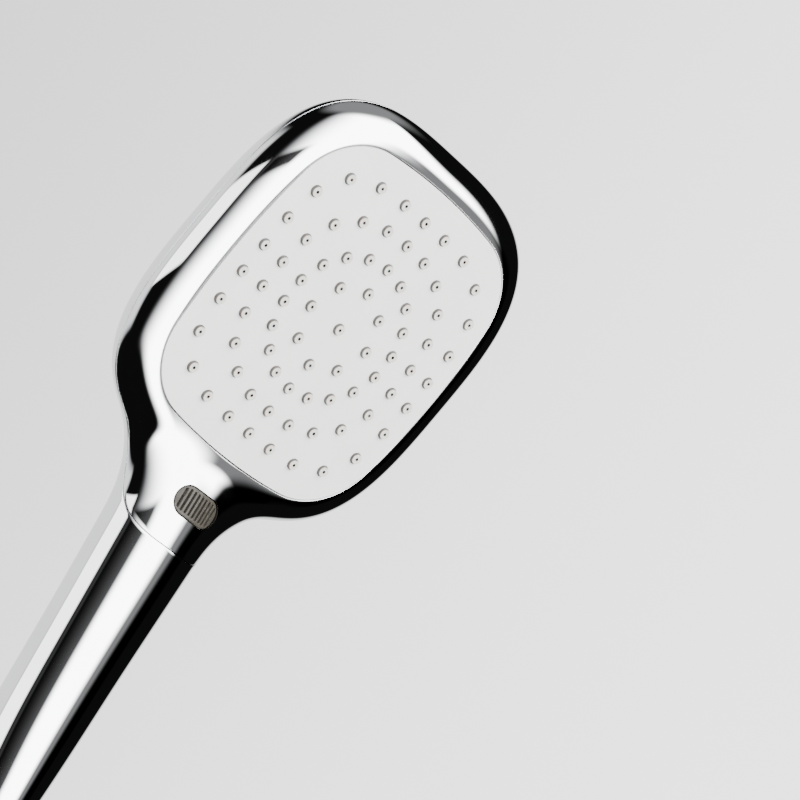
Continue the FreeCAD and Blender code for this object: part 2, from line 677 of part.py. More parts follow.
def make_diverter_body():
    """Diverter body: a cup across the neck, with the tube's socket below and three outlets above."""
    cup = cylinder("valve_cup", "dims.valve", "-dims.valve_floor - 1.2", "dims.valve_top")
    socket = cylinder("valve_socket", "8.3", -16, -4)
    place(socket, 0, -16, 0, Vector(1, 0, 0), "-90")
    outlets = box("valve_outlets", -10.5, 10.5, 3, "dims.outlet_top", "-dims.valve_floor + 0.2", 1)
    solid = combine("Part::MultiFuse", "valve_solid", cup, socket, outlets)
    bore = cylinder("valve_bore_cut", "dims.valve_bore", "-dims.valve_floor", "dims.valve_top + 1")
    over = box("valve_over_cut", -9, 9, -8.6, 9.5, "dims.valve_top", 12)
    socket_bore = place(cylinder("valve_socket_bore", "dims.tube + 0.1", 0, 7.5), 0, -17, 0,
                        Vector(1, 0, 0), "-90")
    groove = place(cylinder("valve_groove", "dims.tube + 1.6", 0, 1.7), 0, -14, 0, Vector(1, 0, 0), "-90")
    feed = place(cylinder("valve_feed", 3.4, 0, 10), 0, -12, "-3.6", Vector(1, 0, 0), "-90")
    cuts = [bore, over, socket_bore, groove, feed]
    for i in (-1, 0, 1):
        outlet = cylinder(f"valve_outlet_{i + 1}", "dims.port - 0.2", 0, 8)
        cuts.append(place(outlet, f"{i} * dims.outlet_pitch", 2, "-dims.outlet_y", Vector(1, 0, 0), "-90"))
    finish(in_button(combine("Part::Cut", "diverter_body_cut", solid, *cuts)), "diverter_body")


def make_diverter_cap():
    """Cap of the diverter, with the plunger's bearing and its seal groove."""
    cap = turned("diverter_cap_body", [
        ("dims.stem + dims.running", "0.5"), ("dims.valve_bore - 0.1", "0.5"),
        ("dims.valve_bore - 0.1", "dims.valve_top"), ("dims.valve - 0.3", "dims.valve_top"),
        ("dims.valve - 0.3", "3.4"), ("dims.stem + dims.running", "3.4"),
        ("dims.stem + dims.running", "2.7"), ("dims.stem + 1.35", "2.7"), ("dims.stem + 1.35", "1.3"),
        ("dims.stem + dims.running", "1.3"),
    ])
    finish(in_button(cap), "diverter_cap")
    finish(in_button_at(o_ring("plunger_ring", "dims.stem + 0.72", "0.6", 0), 2.0), "plunger_o_ring")


def in_button_at(thing, height):
    """Put an object drawn about its own z axis at a height of the button frame."""
    return place(thing, 0, f"-({height})", "dims.button_height", Vector(1, 0, 0), "90")


def make_button():
    """Button with grip ribs, and the plunger that it pushes."""
    blank = button_prism("button_blank", 0, "6.4", "dims.button_front")
    flange = button_prism("button_flange", 0.9, "6.4", "7.5")
    barrel = add("Part::Cylinder", "button_barrel", Radius=26, Height=30)
    place(barrel, 0, -15, "dims.button_front - 26", Vector(1, 0, 0), "-90")
    face = combine("Part::Common", "button_face", blank, barrel)
    solid = combine("Part::MultiFuse", "button_solid", face, flange)
    grooves = []
    for i in range(-4, 5):
        across = f"{i} * dims.rib_pitch"
        grooves.append(box(
            f"button_groove_{i + 4}", f"{across} - dims.rib_groove / 2", f"{across} + dims.rib_groove / 2",
            "-dims.rib_length / 2", "dims.rib_length / 2",
            f"dims.button_front - dims.rib_depth - {abs(i)} * 0.1", "dims.button_front + 1"))
    finish(in_button(combine("Part::Cut", "select_button_cut", solid, *grooves)), "select_button")

    plunger = turned("plunger_body", [
        (0, "-1.0"), (5.6, "-1.0"), (5.6, "0.2"), ("dims.stem", "0.2"), ("dims.stem", "6.4"), (0, "6.4"),
    ])
    teeth = [
        place(add("Part::Box", f"plunger_slot_{i}", Length=8, Width=1.0, Height=0.6), 0, 0, -1.1,
              Vector(0, 0, 1), 60 * i)
        for i in range(6)]
    finish(in_button(combine("Part::Cut", "button_plunger_cut", plunger, *teeth)), "button_plunger")


def make_rotor():
    """Ratchet rotor that each press turns by 60 degrees, which uncovers the next outlet."""
    disc = turned("rotor_disc", [
        (0, "-3.2"), ("dims.valve_bore - 0.2", "-3.2"), ("dims.valve_bore - 0.2", "-1.5"), (0, "-1.5")])
    ramps = []
    for i in range(6):
        ramps.append(place(add("Part::Box", f"rotor_tooth_{i}", Length=5.2, Width=0.9, Height=0.5),
                           0, 0, -1.6, Vector(0, 0, 1), 60 * i))
    toothed = combine("Part::MultiFuse", "rotor_toothed", disc, *ramps)
    gate = cylinder("rotor_gate", 1.7, -5, 0, 0, 4.2)
    seat = cylinder("rotor_seat", 4.0, -5, -2.8)
    finish(in_button(combine("Part::Cut", "diverter_rotor_cut", toothed, gate, seat)), "diverter_rotor")


def coil_spring(name, label, mean, wire, length, turns, frame, foot):
    """A square-wire compression spring standing on its foot; wire is half the wire's thickness."""
    path = add("Part::Helix", name + "_path", Radius=mean, Pitch=f"({length} - 2 * {wire}) / {turns}",
               Height=f"{length} - 2 * {wire}")
    section = add("Part::RegularPolygon", name + "_section", Circumradius=f"{wire} * sqrt(2)")
    section.Polygon = 4
    turn = Rotation(Vector(1, 0, 0), 90) * Rotation(Vector(0, 0, 1), 45)
    section.Placement = Placement(Vector(0, 0, 0), turn)
    section.setExpression("Placement.Base.x", mean)
    coil = doc.addObject("Part::Sweep", name)
    coil.Sections = [section]
    coil.Spine = (path, [])
    coil.Solid = True
    coil.Frenet = True
    return finish(frame(coil, f"{foot} + {wire}"), label)


def upright_at(thing, height):
    """Put an object on the handle axis at a height."""
    return place(thing, 0, 0, height)


# ---------------------------------------------------------------- tube and inlet

def make_tube():
    """Water tube up the handle, with an O-ring at each end."""
    tube = turned("tube_body", ring_of_rows("dims.tube_bore", "dims.tube", "dims.tube_bottom",
                                            "dims.tube_top"))
    finish(tube, "water_tube")
    upper = o_ring("upper_ring", "dims.tube + 0.83", "dims.ring_cord", "dims.button_height - 13.15")
    finish(upper, "upper_tube_o_ring")
    finish(o_ring("lower_ring", "dims.tube + 0.83", "dims.ring_cord", 28.5), "lower_tube_o_ring")


def make_connector():
    """Inlet connector: G1/2 male thread below, drawn at its outer diameter, plug and tube socket inside
    the handle."""
    rows = [
        ("dims.inlet_bore", 0), ("dims.thread", 0), ("dims.thread", "dims.thread_length"),
        ("dims.thread_root", "dims.thread_length + 0.3"),
        ("dims.thread_root", 11.1), (11.9, 11.1), (11.9, "dims.handle_foot - 0.05"),
        ("dims.plug", "dims.handle_foot - 0.05"), ("dims.plug", 16.2),
        ("dims.plug - 1.5", 16.2), ("dims.plug - 1.5", 17.9), ("dims.plug", 17.9),
        ("dims.plug", 24), (8.6, 25), (8.6, 32), ("dims.tube + 0.1", 32), ("dims.tube + 0.1", 29.4),
        ("dims.tube + 1.65", 29.4), ("dims.tube + 1.65", 27.6), ("dims.tube + 0.1", 27.6),
        ("dims.tube + 0.1", 24.2), ("dims.tube_bore", 24.2), ("dims.tube_bore", 20),
        ("dims.inlet_bore", 20),
    ]
    finish(turned("connector_body", rows), "inlet_connector")
    finish(o_ring("connector_ring", "dims.plug - 0.75", "0.72", 17.05), "connector_o_ring")


def make_check_valve():
    """Check valve cartridge: cage with seat and guide, poppet and spring."""
    cage = turned("cage_body", [
        (3.4, 5), ("dims.inlet_bore - 0.1", 5), ("dims.inlet_bore - 0.1", "dims.limiter_foot"),
        (6.2, "dims.limiter_foot"), (6.2, 16.5), ("1.3", 16.5), ("1.3", 15.2), (5.4, 15.2), (5.4, 6.4),
        (3.4, 6.4),
    ])
    windows = [
        place(add("Part::Cylinder", f"cage_window_{i}", Radius=1.4, Height=4), f"3.6 * cos({60 * i})",
              f"3.6 * sin({60 * i})", 14)
        for i in range(6)]
    finish(combine("Part::Cut", "check_cage_cut", cage, *windows), "check_valve_cage")
    poppet = turned("poppet_body", [
        (0, "6.4"), (4.4, "6.4"), (4.7, "6.7"), (4.7, "7.6"), ("1.2", "8.0"), ("1.2", "16.4"), (0, "16.4")])
    finish(poppet, "check_valve_poppet")
    coil_spring("check_coil", "check_valve_spring", "2.3", "0.22", "7.15", 5, upright_at, "8.0")


def make_flow_parts():
    """Flow limiter above the check valve, and the inlet filter below it."""
    disc = turned("limiter_body", [
        (0, "dims.limiter_foot"), ("dims.inlet_bore - 0.1", "dims.limiter_foot"),
        ("dims.inlet_bore - 0.1", "19.95"), (6.0, "19.95"), (6.0, "dims.limiter_foot + 0.8"),
        (0, "dims.limiter_foot + 0.8")])
    holes = [
        place(add("Part::Cylinder", f"limiter_hole_{i}", Radius=0.9, Height=4), f"3.8 * cos({45 * i})",
              f"3.8 * sin({45 * i})", "dims.limiter_foot - 1")
        for i in range(8)]
    finish(combine("Part::Cut", "flow_limiter_cut", disc, *holes), "flow_limiter")
    screen = turned("filter_body", [
        (0, "3.0"), (5.6, "2.2"), (5.6, "1.4"), ("dims.inlet_bore - 0.1", "1.4"),
        ("dims.inlet_bore - 0.1", "4.6"), (6.4, "4.6"), (6.4, "3.0"), (0, "3.8")])
    mesh = doc.addObject("Part::Feature", "filter_mesh")
    openings = []
    for ring in range(1, 5):
        for i in range(6 * ring):
            turn = 2 * math.pi * i / (6 * ring)
            spot = Vector(1.25 * ring * math.cos(turn), 1.25 * ring * math.sin(turn), 0)
            openings.append(Part.makeCylinder(0.42, 6, spot))
    mesh.Shape = Part.makeCompound(openings)
    finish(combine("Part::Cut", "inlet_filter_cut", screen, mesh), "inlet_filter")


make_shells()
make_plate()
make_mat()
make_face_gasket()
make_distributor()
make_screws()
make_waterway()
make_port_gasket()
make_diverter_body()
make_diverter_cap()
make_button()
make_rotor()
coil_spring("button_coil", "button_spring", "4.9", "0.28", "dims.spring_length", 4, in_button_at,
            "-dims.valve_floor")
make_tube()
make_connector()
make_check_valve()
make_flow_parts()
doc.recompute()

for thing in doc.Objects:
    faults = [state for state in thing.State if state in ("Invalid", "Error")]
    if faults:
        raise RuntimeError(f"{thing.Name} is {faults}")
for part in parts:
    if part.Shape.isNull() or not part.Shape.isValid():
        raise RuntimeError(f"{part.Label} has no valid shape")

os.makedirs("parts", exist_ok=True)
for part in parts:
    part.Shape.exportStep(f"parts/{part.Label}.step")
    extent = part.Shape.BoundBox
    print(f"{part.Label:22s} solids {len(part.Shape.Solids)}  volume {part.Shape.Volume:9.1f}  "
          f"x {extent.XMin:7.2f} {extent.XMax:7.2f}  y {extent.YMin:7.2f} {extent.YMax:7.2f}  "
          f"z {extent.ZMin:7.2f} {extent.ZMax:7.2f}")
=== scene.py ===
"""Handheld shower head: the visual model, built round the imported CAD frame. Metres in Blender;
the shape functions below work in millimetres, with +Z up the handle and -Y on the spray side."""

import math
from collections import namedtuple

import bmesh
import bpy
import numpy as np
from mathutils import Matrix, Vector


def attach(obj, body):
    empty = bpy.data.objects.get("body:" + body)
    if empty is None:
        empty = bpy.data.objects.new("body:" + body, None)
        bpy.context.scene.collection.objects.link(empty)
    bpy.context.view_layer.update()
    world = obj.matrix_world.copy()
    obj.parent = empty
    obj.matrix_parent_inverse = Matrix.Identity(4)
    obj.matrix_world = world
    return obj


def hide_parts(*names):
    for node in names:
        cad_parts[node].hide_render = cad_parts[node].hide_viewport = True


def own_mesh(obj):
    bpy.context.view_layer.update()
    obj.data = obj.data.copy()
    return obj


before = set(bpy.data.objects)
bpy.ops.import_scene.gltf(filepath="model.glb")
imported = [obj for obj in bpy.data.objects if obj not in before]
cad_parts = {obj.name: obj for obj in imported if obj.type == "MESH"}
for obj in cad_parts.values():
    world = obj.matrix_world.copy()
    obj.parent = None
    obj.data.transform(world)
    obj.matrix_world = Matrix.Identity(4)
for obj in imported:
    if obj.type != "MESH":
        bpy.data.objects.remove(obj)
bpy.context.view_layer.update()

bl_info = {
    "name": "Hand Shower",
    "version": (1, 0, 0),
    "blender": (4, 5, 0),
    "location": "View3D > Sidebar > Hand Shower",
    "description": "Builds a chrome hand shower round its CAD frame",
    "category": "Object",
}

MM = 0.001
TINY = 1e-12
FACE_LEAN = math.radians(13.5)

# Handle and neck, from the foot to inside the head, in millimetres: height, half width, front, back.
GRIP_STATIONS = np.array([
    (12.0, 12.4, 12.4, 12.4),
    (26.0, 13.4, 12.4, 12.4),
    (45.0, 14.9, 11.9, 11.9),
    (78.0, 16.3, 11.5, 11.5),
    (112.0, 17.8, 11.9, 11.9),
    (126.0, 19.7, 12.0, 12.2),
    (138.0, 27.0, 11.7, 12.2),
    (150.0, 38.8, 9.8, 11.5),
    (162.0, 43.0, 7.6, 10.0),
])

# The seam seen from the side, in millimetres: knee and turn on the side of the neck, then an arc
# through the middle to the foot, and on towards the front.
SEAM_KNEE = (0.4, 136.5)
SEAM_TURN = (0.4, 129.0)
SEAM_MIDDLE = (-3.4, 120.4)
SEAM_FOOT = (-11.0, 115.8)
SEAM_FRONT = (-60.0, 112.0)

# How finely shapes are worked out: points on the four stretches of the seam's side view and on its
# two runs, then rows and columns of the grids. Lengths in millimetres of the rays that look for the
# skin, and how often each search for it is halved.
LINE_COUNTS = (3000, 300, 600, 2000)
SEAM_COUNTS = (150, 60)
RUN_COUNT = 1500
SIDE_RAY, FAN_RAY = 30.0, 20.0
HALVINGS = 34
END_HALVINGS = 40


# ---- sizes a user may change

class ShowerSizes(bpy.types.PropertyGroup):
    """Sizes of the shells, the button and the thread."""

    def length(label, text, default):
        return bpy.props.FloatProperty(
            name=label, description=text, default=default * MM, unit="LENGTH", precision=5)

    tilt: bpy.props.FloatProperty(
        name="Face lean", description="Lean of the spray face from the handle axis",
        default=FACE_LEAN, subtype="ANGLE")
    face_offset: length("Face offset", "Handle axis to the middle of the spray face", 24.5)
    face_height: length("Face height", "Inlet to the middle of the spray face", 196.0)
    head_w: length("Head half width", "Half width of the head at its seam", 57.6)
    head_l: length("Head half length", "Half length of the head at its seam", 61.2)
    squareness: bpy.props.FloatProperty(
        name="Squareness", description="Power of the head's outline: 2 is an oval", default=3.15)
    seam_depth: length("Seam depth", "Spray face to the seam", 11.5)
    brow_depth: length("Brow depth", "Seam to the front of the bezel", 9.3)
    brow_width: length("Brow width", "Width of the rounded bezel", 10.3)
    dome_depth: length("Dome depth", "Seam to the back of the dome", 20.5)
    melt: length("Neck melt", "How far the neck and the head melt into each other", 5.0)
    wall: length("Wall", "Moulded wall", 2.4)
    seam_gap: length("Seam gap", "Each shell stops this far from the seam", 0.1)
    edge: length("Edge", "Rounding of the shells' edges", 0.14)
    opening_w: length("Opening half width", "Half width of the opening for the plate", 47.7)
    opening_l: length("Opening half length", "Half length of the opening for the plate", 50.5)
    opening_bow: length("Opening bow", "Radius of the opening's bowed sides", 200.4)
    opening_corner: length("Opening corner", "Corner radius of the opening", 24.4)
    button_height: length("Button height", "Inlet to the middle of the button", 130.5)
    button_w: length("Button width", "Button across the handle", 17.4)
    button_l: length("Button length", "Button along the handle", 9.2)
    button_gap: length("Button gap", "Gap round the button", 0.3)
    button_front: length("Button front", "Handle axis to the button's face", 12.1)
    rib_pitch: length("Rib pitch", "Groove to groove on the button", 1.6)
    rib_groove: length("Groove width", "Width of the button's grooves", 0.7)
    rib_length: length("Groove length", "Length of the button's grooves", 7.4)
    rib_depth: length("Groove depth", "Depth of the button's grooves", 0.9)
    thread_crest: length("Thread crest", "Outer radius of the G1/2 thread", 10.4775)
    thread_root: length("Thread root", "Root radius of the G1/2 thread", 9.3155)
    thread_pitch: length("Thread pitch", "Pitch of the G1/2 thread", 1.8143)
    thread_length: length("Thread length", "Length of the thread", 10.0)


class FinishColours(bpy.types.PropertyGroup):
    """Main colour of each finish."""

    def colour(label, text, *default):
        return bpy.props.FloatVectorProperty(
            name=label, description=text, default=default, subtype="COLOR", size=3, min=0.0, max=1.0)

    chrome: colour("Chrome", "Chrome of the cover and the housing", 0.86, 0.87, 0.89)
    plate: colour("Plate", "Satin spray plate", 0.88, 0.88, 0.87)
    nozzles: colour("Nozzles", "Soft silicone nozzles", 0.70, 0.68, 0.63)
    button: colour("Button", "Ribbed push button", 0.05, 0.045, 0.036)
    rubber: colour("Rubber", "Gaskets and O-rings", 0.02, 0.02, 0.022)
    waterway: colour("Waterway", "Moulded water channels and pipe", 0.10, 0.105, 0.11)
    valve: colour("Valve parts", "Acetal plunger, rotor, cap and poppet", 0.72, 0.71, 0.66)
    screws: colour("Screws", "Stainless screws", 0.60, 0.59, 0.57)
    springs: colour("Springs", "Spring wire", 0.52, 0.52, 0.53)
    inlet: colour("Inlet", "Plated inlet connector", 0.82, 0.82, 0.83)
    cartridge: colour("Cartridge", "Check valve cage and flow limiter", 0.18, 0.30, 0.46)
    filter: colour("Filter", "Filter gauze", 0.55, 0.54, 0.52)


class StageSettings(bpy.types.PropertyGroup):
    """Camera and studio."""

    def angle(label, text, degrees):
        return bpy.props.FloatProperty(
            name=label, description=text, default=math.radians(degrees), subtype="ANGLE")

    aim: bpy.props.FloatVectorProperty(
        name="Aim", description="Point the camera looks at", default=(0.020714, -0.040457, 0.187777),
        unit="LENGTH", subtype="TRANSLATION", precision=5)
    distance: bpy.props.FloatProperty(
        name="Distance", description="Camera to aim", default=1.1733, unit="LENGTH")
    azimuth: angle("Azimuth", "Camera's turn round the handle from straight in front", -40.919)
    elevation: angle("Elevation", "Camera's height angle", -10.405)
    roll: angle("Roll", "Turn of the camera about its own axis", 31.230)
    lens: bpy.props.FloatProperty(
        name="Lens", description="Focal length in millimetres", default=180.0)
    floor_height: bpy.props.FloatProperty(
        name="Floor", description="Height of the floor", default=-0.30, unit="LENGTH")


# ---- shape of the body

def smooth_line(knots, values):
    """Natural cubic spline through the values: its bends at the knots solve one linear system, and
    between two knots it is the cubic with those values and bends at its ends."""
    gap = np.diff(knots)
    count = len(knots)
    system = np.eye(count)
    rise = np.zeros((count, values.shape[1]))
    inner = np.arange(1, count - 1)
    system[inner, inner - 1] = gap[:-1]
    system[inner, inner] = 2 * (gap[:-1] + gap[1:])
    system[inner, inner + 1] = gap[1:]
    slope = np.diff(values, axis=0) / gap[:, None]
    rise[1:-1] = 6 * np.diff(slope, axis=0)
    bend = np.linalg.solve(system, rise)

    def line(at):
        i = np.clip(np.searchsorted(knots, at, side="right") - 1, 0, count - 2)
        step = gap[i][..., None]
        right = ((at - knots[i])[..., None]) / step
        left = 1 - right
        return (left * values[i] + right * values[i + 1]
                + ((left ** 3 - left) * bend[i] + (right ** 3 - right) * bend[i + 1]) * step ** 2 / 6)

    return line


class Body:
    """The outside of the shower as one solid. Its field is about the distance to the skin in
    millimetres, below zero inside."""

    def __init__(self, sizes):
        mm = {name: getattr(sizes, name) / MM for name in ShowerSizes.__annotations__
              if name not in ("tilt", "squareness")}
        self.size = mm
        self.power = sizes.squareness
        self.lean = (math.cos(sizes.tilt), math.sin(sizes.tilt))
        self.flat = 1 - mm["brow_width"] / mm["head_w"]
        self.stations = smooth_line(GRIP_STATIONS[:, 0], GRIP_STATIONS[:, 1:])

    def to_head(self, p):
        """Place across the face, up the face and behind it."""
        c, s = self.lean
        y = p[..., 1] + self.size["face_offset"]
        z = p[..., 2] - self.size["face_height"]
        return p[..., 0], -y * s + z * c, y * c + z * s

    def from_head(self, u, v, d):
        """The row-frame point at a place across, up and behind the face."""
        c, s = self.lean
        return np.stack(np.broadcast_arrays(
            u, -v * s + d * c - self.size["face_offset"], v * c + d * s + self.size["face_height"]), -1)

    def head(self, p, behind):
        """A rounded square whose outline shrinks as an ellipse does, behind the seam over its whole
        width and in front of it over the brow only, so that the front is flat."""
        u, v, d = self.to_head(p)
        n = self.power
        wide, tall = np.abs(u / self.size["head_w"]) ** n, np.abs(v / self.size["head_l"]) ** n
        reach = (wide + tall + TINY) ** (1 / n)
        across = np.where(behind, reach, np.maximum(reach - self.flat, 0) / (1 - self.flat))
        deep = np.where(behind, (d - self.size["seam_depth"]) / self.size["dome_depth"],
                        (self.size["seam_depth"] - d) / self.size["brow_depth"])
        return np.sqrt(across ** 2 + deep ** 2 + TINY) - 1

    def grip(self, p):
        """Ovals up the handle, their half widths on a smooth line through the stations, rounded off
        above the last one."""
        top = GRIP_STATIONS[-1, 0]
        half = self.stations(np.clip(p[..., 2], GRIP_STATIONS[0, 0], top))
        deep = np.where(p[..., 1] < 0, half[..., 1], half[..., 2])
        end = 8.0
        over = np.maximum(p[..., 2] - top, 0) / end
        return np.sqrt((p[..., 0] / half[..., 0]) ** 2 + (p[..., 1] / deep) ** 2 + over ** 2 + TINY) - 1

    @staticmethod
    def slope(shape, p, step=0.01):
        """Gradient of a field by central differences."""
        offsets = np.eye(3) * step
        return np.stack([(shape(p + o) - shape(p - o)) / (2 * step) for o in offsets], -1)

    def levelled(self, shape, p):
        """A field divided by its own slope, so that it reads in millimetres near the skin."""
        return shape(p) / np.maximum(np.linalg.norm(self.slope(shape, p), axis=-1), 1e-3)

    def field(self, p):
        """Head and grip together: the lower of the two, melted where they are nearly equal."""
        behind = self.to_head(p)[2] > self.size["seam_depth"]
        a = self.levelled(lambda q: self.head(q, behind), p)
        b = self.levelled(self.grip, p)
        k = self.size["melt"]
        near = np.maximum(k - np.abs(a - b), 0) / k
        return np.minimum(a, b) - near ** 3 * k / 6

    def normal(self, p):
        """Outward unit normal of the skin."""
        way = self.slope(self.field, p, 0.02)
        return way / np.linalg.norm(way, axis=-1, keepdims=True)

    def meet(self, inside, towards, far=3.0):
        """Where the line from a point inside through another point leaves the body, by halving."""
        low = np.zeros(np.broadcast(inside[..., 0], towards[..., 0]).shape)
        high = np.full_like(low, far)
        for _ in range(HALVINGS):
            middle = (low + high) / 2
            out = self.field(inside + (towards - inside) * middle[..., None]) > 0
            high = np.where(out, middle, high)
            low = np.where(out, low, middle)
        return inside + (towards - inside) * ((low + high) / 2)[..., None]


def arc_through(start, middle, end, count):
    """Points of the circle arc through three points of a plane."""
    a, b, c = (complex(*p) for p in (start, middle, end))
    w = (c - a) / (b - a)
    centre = a - (a - b) * (w - abs(w) ** 2) / (2j * w.imag)
    turn = np.angle((c - centre) / (a - centre))
    points = centre + (a - centre) * np.exp(1j * turn * np.linspace(0, 1, count))
    return np.stack([points.real, points.imag], -1)


def side_line(body):
    """The seam in side view, from above the head down to in front of the neck, as dense points."""
    lift = 90.0
    middle = body.from_head(np.zeros(1), np.array([lift]), np.array([body.size["seam_depth"]]))[0]
    straight = np.linspace(middle[1:], SEAM_KNEE, LINE_COUNTS[0])
    down = np.linspace(SEAM_KNEE, SEAM_TURN, LINE_COUNTS[1])
    arc = arc_through(SEAM_TURN, SEAM_MIDDLE, SEAM_FOOT, LINE_COUNTS[2])
    front = np.linspace(SEAM_FOOT, SEAM_FRONT, LINE_COUNTS[3])
    return np.concatenate([straight, down[1:], arc[1:], front[1:]])


def seam_half(body):
    """The right half of the seam loop, top to front: where the side view's line, pushed out
    sideways, meets the skin. Two runs of evenly spaced points: head to turn, and turn to front."""
    line = side_line(body)
    along = np.concatenate([[0], np.cumsum(np.linalg.norm(np.diff(line, axis=0), axis=1))])

    def at(t):
        y, z = np.interp(t, along, line[:, 0]), np.interp(t, along, line[:, 1])
        return np.stack([np.zeros_like(y), y, z], -1)

    inside = body.field(at(along)) < 0
    first, last = np.nonzero(inside)[0][[0, -1]]
    ends = []
    for out, within in ((first - 1, first), (last + 1, last)):
        low, high = along[out], along[within]
        for _ in range(END_HALVINGS):
            middle = (low + high) / 2
            if body.field(at(np.array([middle])))[0] > 0:
                low = middle
            else:
                high = middle
        ends.append(high)
    start, finish = ends
    turn = along[np.argmin(np.linalg.norm(line - np.array(SEAM_TURN), axis=1))]

    def sides(t):
        base = at(t)
        return body.meet(base, base + np.array([SIDE_RAY, 0, 0]))

    runs = []
    for low, high, count in ((start, turn, SEAM_COUNTS[0]), (turn, finish, SEAM_COUNTS[1])):
        dense = low + (high - low) * (1 - np.cos(np.linspace(0, np.pi, RUN_COUNT))) / 2
        points = sides(dense)
        if low == start:
            points[0, 0] = 0
        if high == finish:
            points[-1, 0] = 0
        length = np.concatenate([[0], np.cumsum(np.linalg.norm(np.diff(points, axis=0), axis=1))])
        runs.append(np.stack([np.interp(np.linspace(0, length[-1], count), length, points[:, i])
                              for i in range(3)], -1))
    return runs


def bowed_square_reach(turn, half_w, half_l, bow, corner):
    """How far a rounded square reaches at an angle from its middle. Its outline is a bowed side, a
    corner and a bowed end, three arcs that meet smoothly, mirrored both ways."""
    reach = bow - corner
    side, end = np.array([half_w - bow, 0.0]), np.array([0.0, half_l - bow])
    apart = end - side
    rise = math.sqrt(reach ** 2 - (apart @ apart) / 4)
    normal = np.array([apart[1], -apart[0]]) / np.linalg.norm(apart)
    normal = normal * np.sign(normal[0])
    knee = (side + end) / 2 + normal * rise
    way = np.stack([np.abs(np.cos(turn)), np.abs(np.sin(turn))], -1)
    at = np.arctan2(way[..., 1], way[..., 0])

    def joint(centre):
        """Angle at which the arc round a centre meets the corner's arc."""
        turn = math.atan2(*(knee - centre)[::-1])
        return math.atan2(*(knee + corner * np.array([math.cos(turn), math.sin(turn)]))[::-1])

    def hit(centre, radius):
        """Reach of the arc round a centre."""
        toward = way @ centre
        return toward + np.sqrt(np.maximum(toward ** 2 - centre @ centre + radius ** 2, 0))

    return np.where(at < joint(side), hit(side, bow),
                    np.where(at > joint(end), hit(end, bow), hit(knee, corner)))


def mirrored(points, ends):
    """A run of points on the right side, carried on round the left side. Ends that lie on the middle
    are not repeated."""
    left = points[::-1] * np.array([-1.0, 1, 1])
    return np.concatenate([points, left[ends[0]:len(left) - ends[1]]])


def unit(way):
    """Vectors made one long."""
    return way / np.maximum(np.linalg.norm(way, axis=-1, keepdims=True), TINY)


def turned(radius, height, turn):
    """Points at radii and heights, turned about Z."""
    return np.stack([radius * np.cos(turn), radius * np.sin(turn), height + 0 * turn], -1)


def edge_rows(edge, along, normal, radius, depth):
    """Rows that turn a sheet's edge round and down: from the edge, a quarter circle of the radius, then
    straight in to a depth. Along points from the edge back into the sheet."""
    along = unit(along - (along * normal).sum(-1, keepdims=True) * normal)
    turn = np.linspace(0, np.pi / 2, 5)[1:, None, None]
    curve = edge - along * radius * np.sin(turn) - normal * radius * (1 - np.cos(turn))
    return np.concatenate([curve, (edge - along * radius - normal * depth)[None]])


def draw_back(rows, body, columns=slice(None)):
    """Pull a grid's last row back from the seam, by the seam's gap and the edge's rounding."""
    rows[-1, columns] += unit(rows[-2, columns] - rows[-1, columns]) * (
        body.size["seam_gap"] + body.size["edge"])


def front_shell(body, rows=40):
    """The front cover as one closed grid. Its columns go round the seam. Its rows go from the edge of
    the plate's opening out to the seam, on rays that fan out from a line inside the brow, then round
    the seam's edge, back along the inside, and round the opening's edge."""
    upper, lower = seam_half(body)
    loop = mirrored(np.concatenate([upper, lower[1:]]), (1, 1))
    u, v, _ = body.to_head(loop)
    turn = np.arctan2(v, u)
    size = body.size
    edge = bowed_square_reach(turn, size["opening_w"], size["opening_l"], size["opening_bow"],
                              size["opening_corner"]) + size["edge"]
    out = np.hypot(u, v)
    heart_share, heart_depth, lip_ray = 0.35, 1.5, 5.0
    heart = edge + heart_share * (out - edge)
    deep = size["seam_depth"] + heart_depth
    c, s = np.cos(turn), np.sin(turn)
    core = body.from_head(c * heart, s * heart, deep)
    lip = body.meet(body.from_head(c * edge, s * edge, deep),
                    body.from_head(c * edge, s * edge, deep - lip_ray))
    first, last = unit(lip - core), unit(loop - core)
    angle = np.arccos(np.clip((first * last).sum(-1), -1, 1))
    share = np.linspace(0, 1, rows)[:, None]
    way = (np.sin((1 - share) * angle)[..., None] * first + np.sin(share * angle)[..., None] * last) \
        / np.sin(angle)[:, None]
    skin = body.meet(core[None], core[None] + way * FAN_RAY)
    skin[0], skin[-1] = lip, loop
    draw_back(skin, body)
    normal = body.normal(skin)
    wall = size["wall"]
    seam = edge_rows(skin[-1], skin[-2] - skin[-1], normal[-1], size["edge"], wall)
    every = 3
    inside = (skin - normal * wall)[1:-1][::-every]
    mouth = edge_rows(skin[0], skin[1] - skin[0], normal[0], size["edge"], wall)
    return np.concatenate([skin, seam, inside, mouth[::-1]])


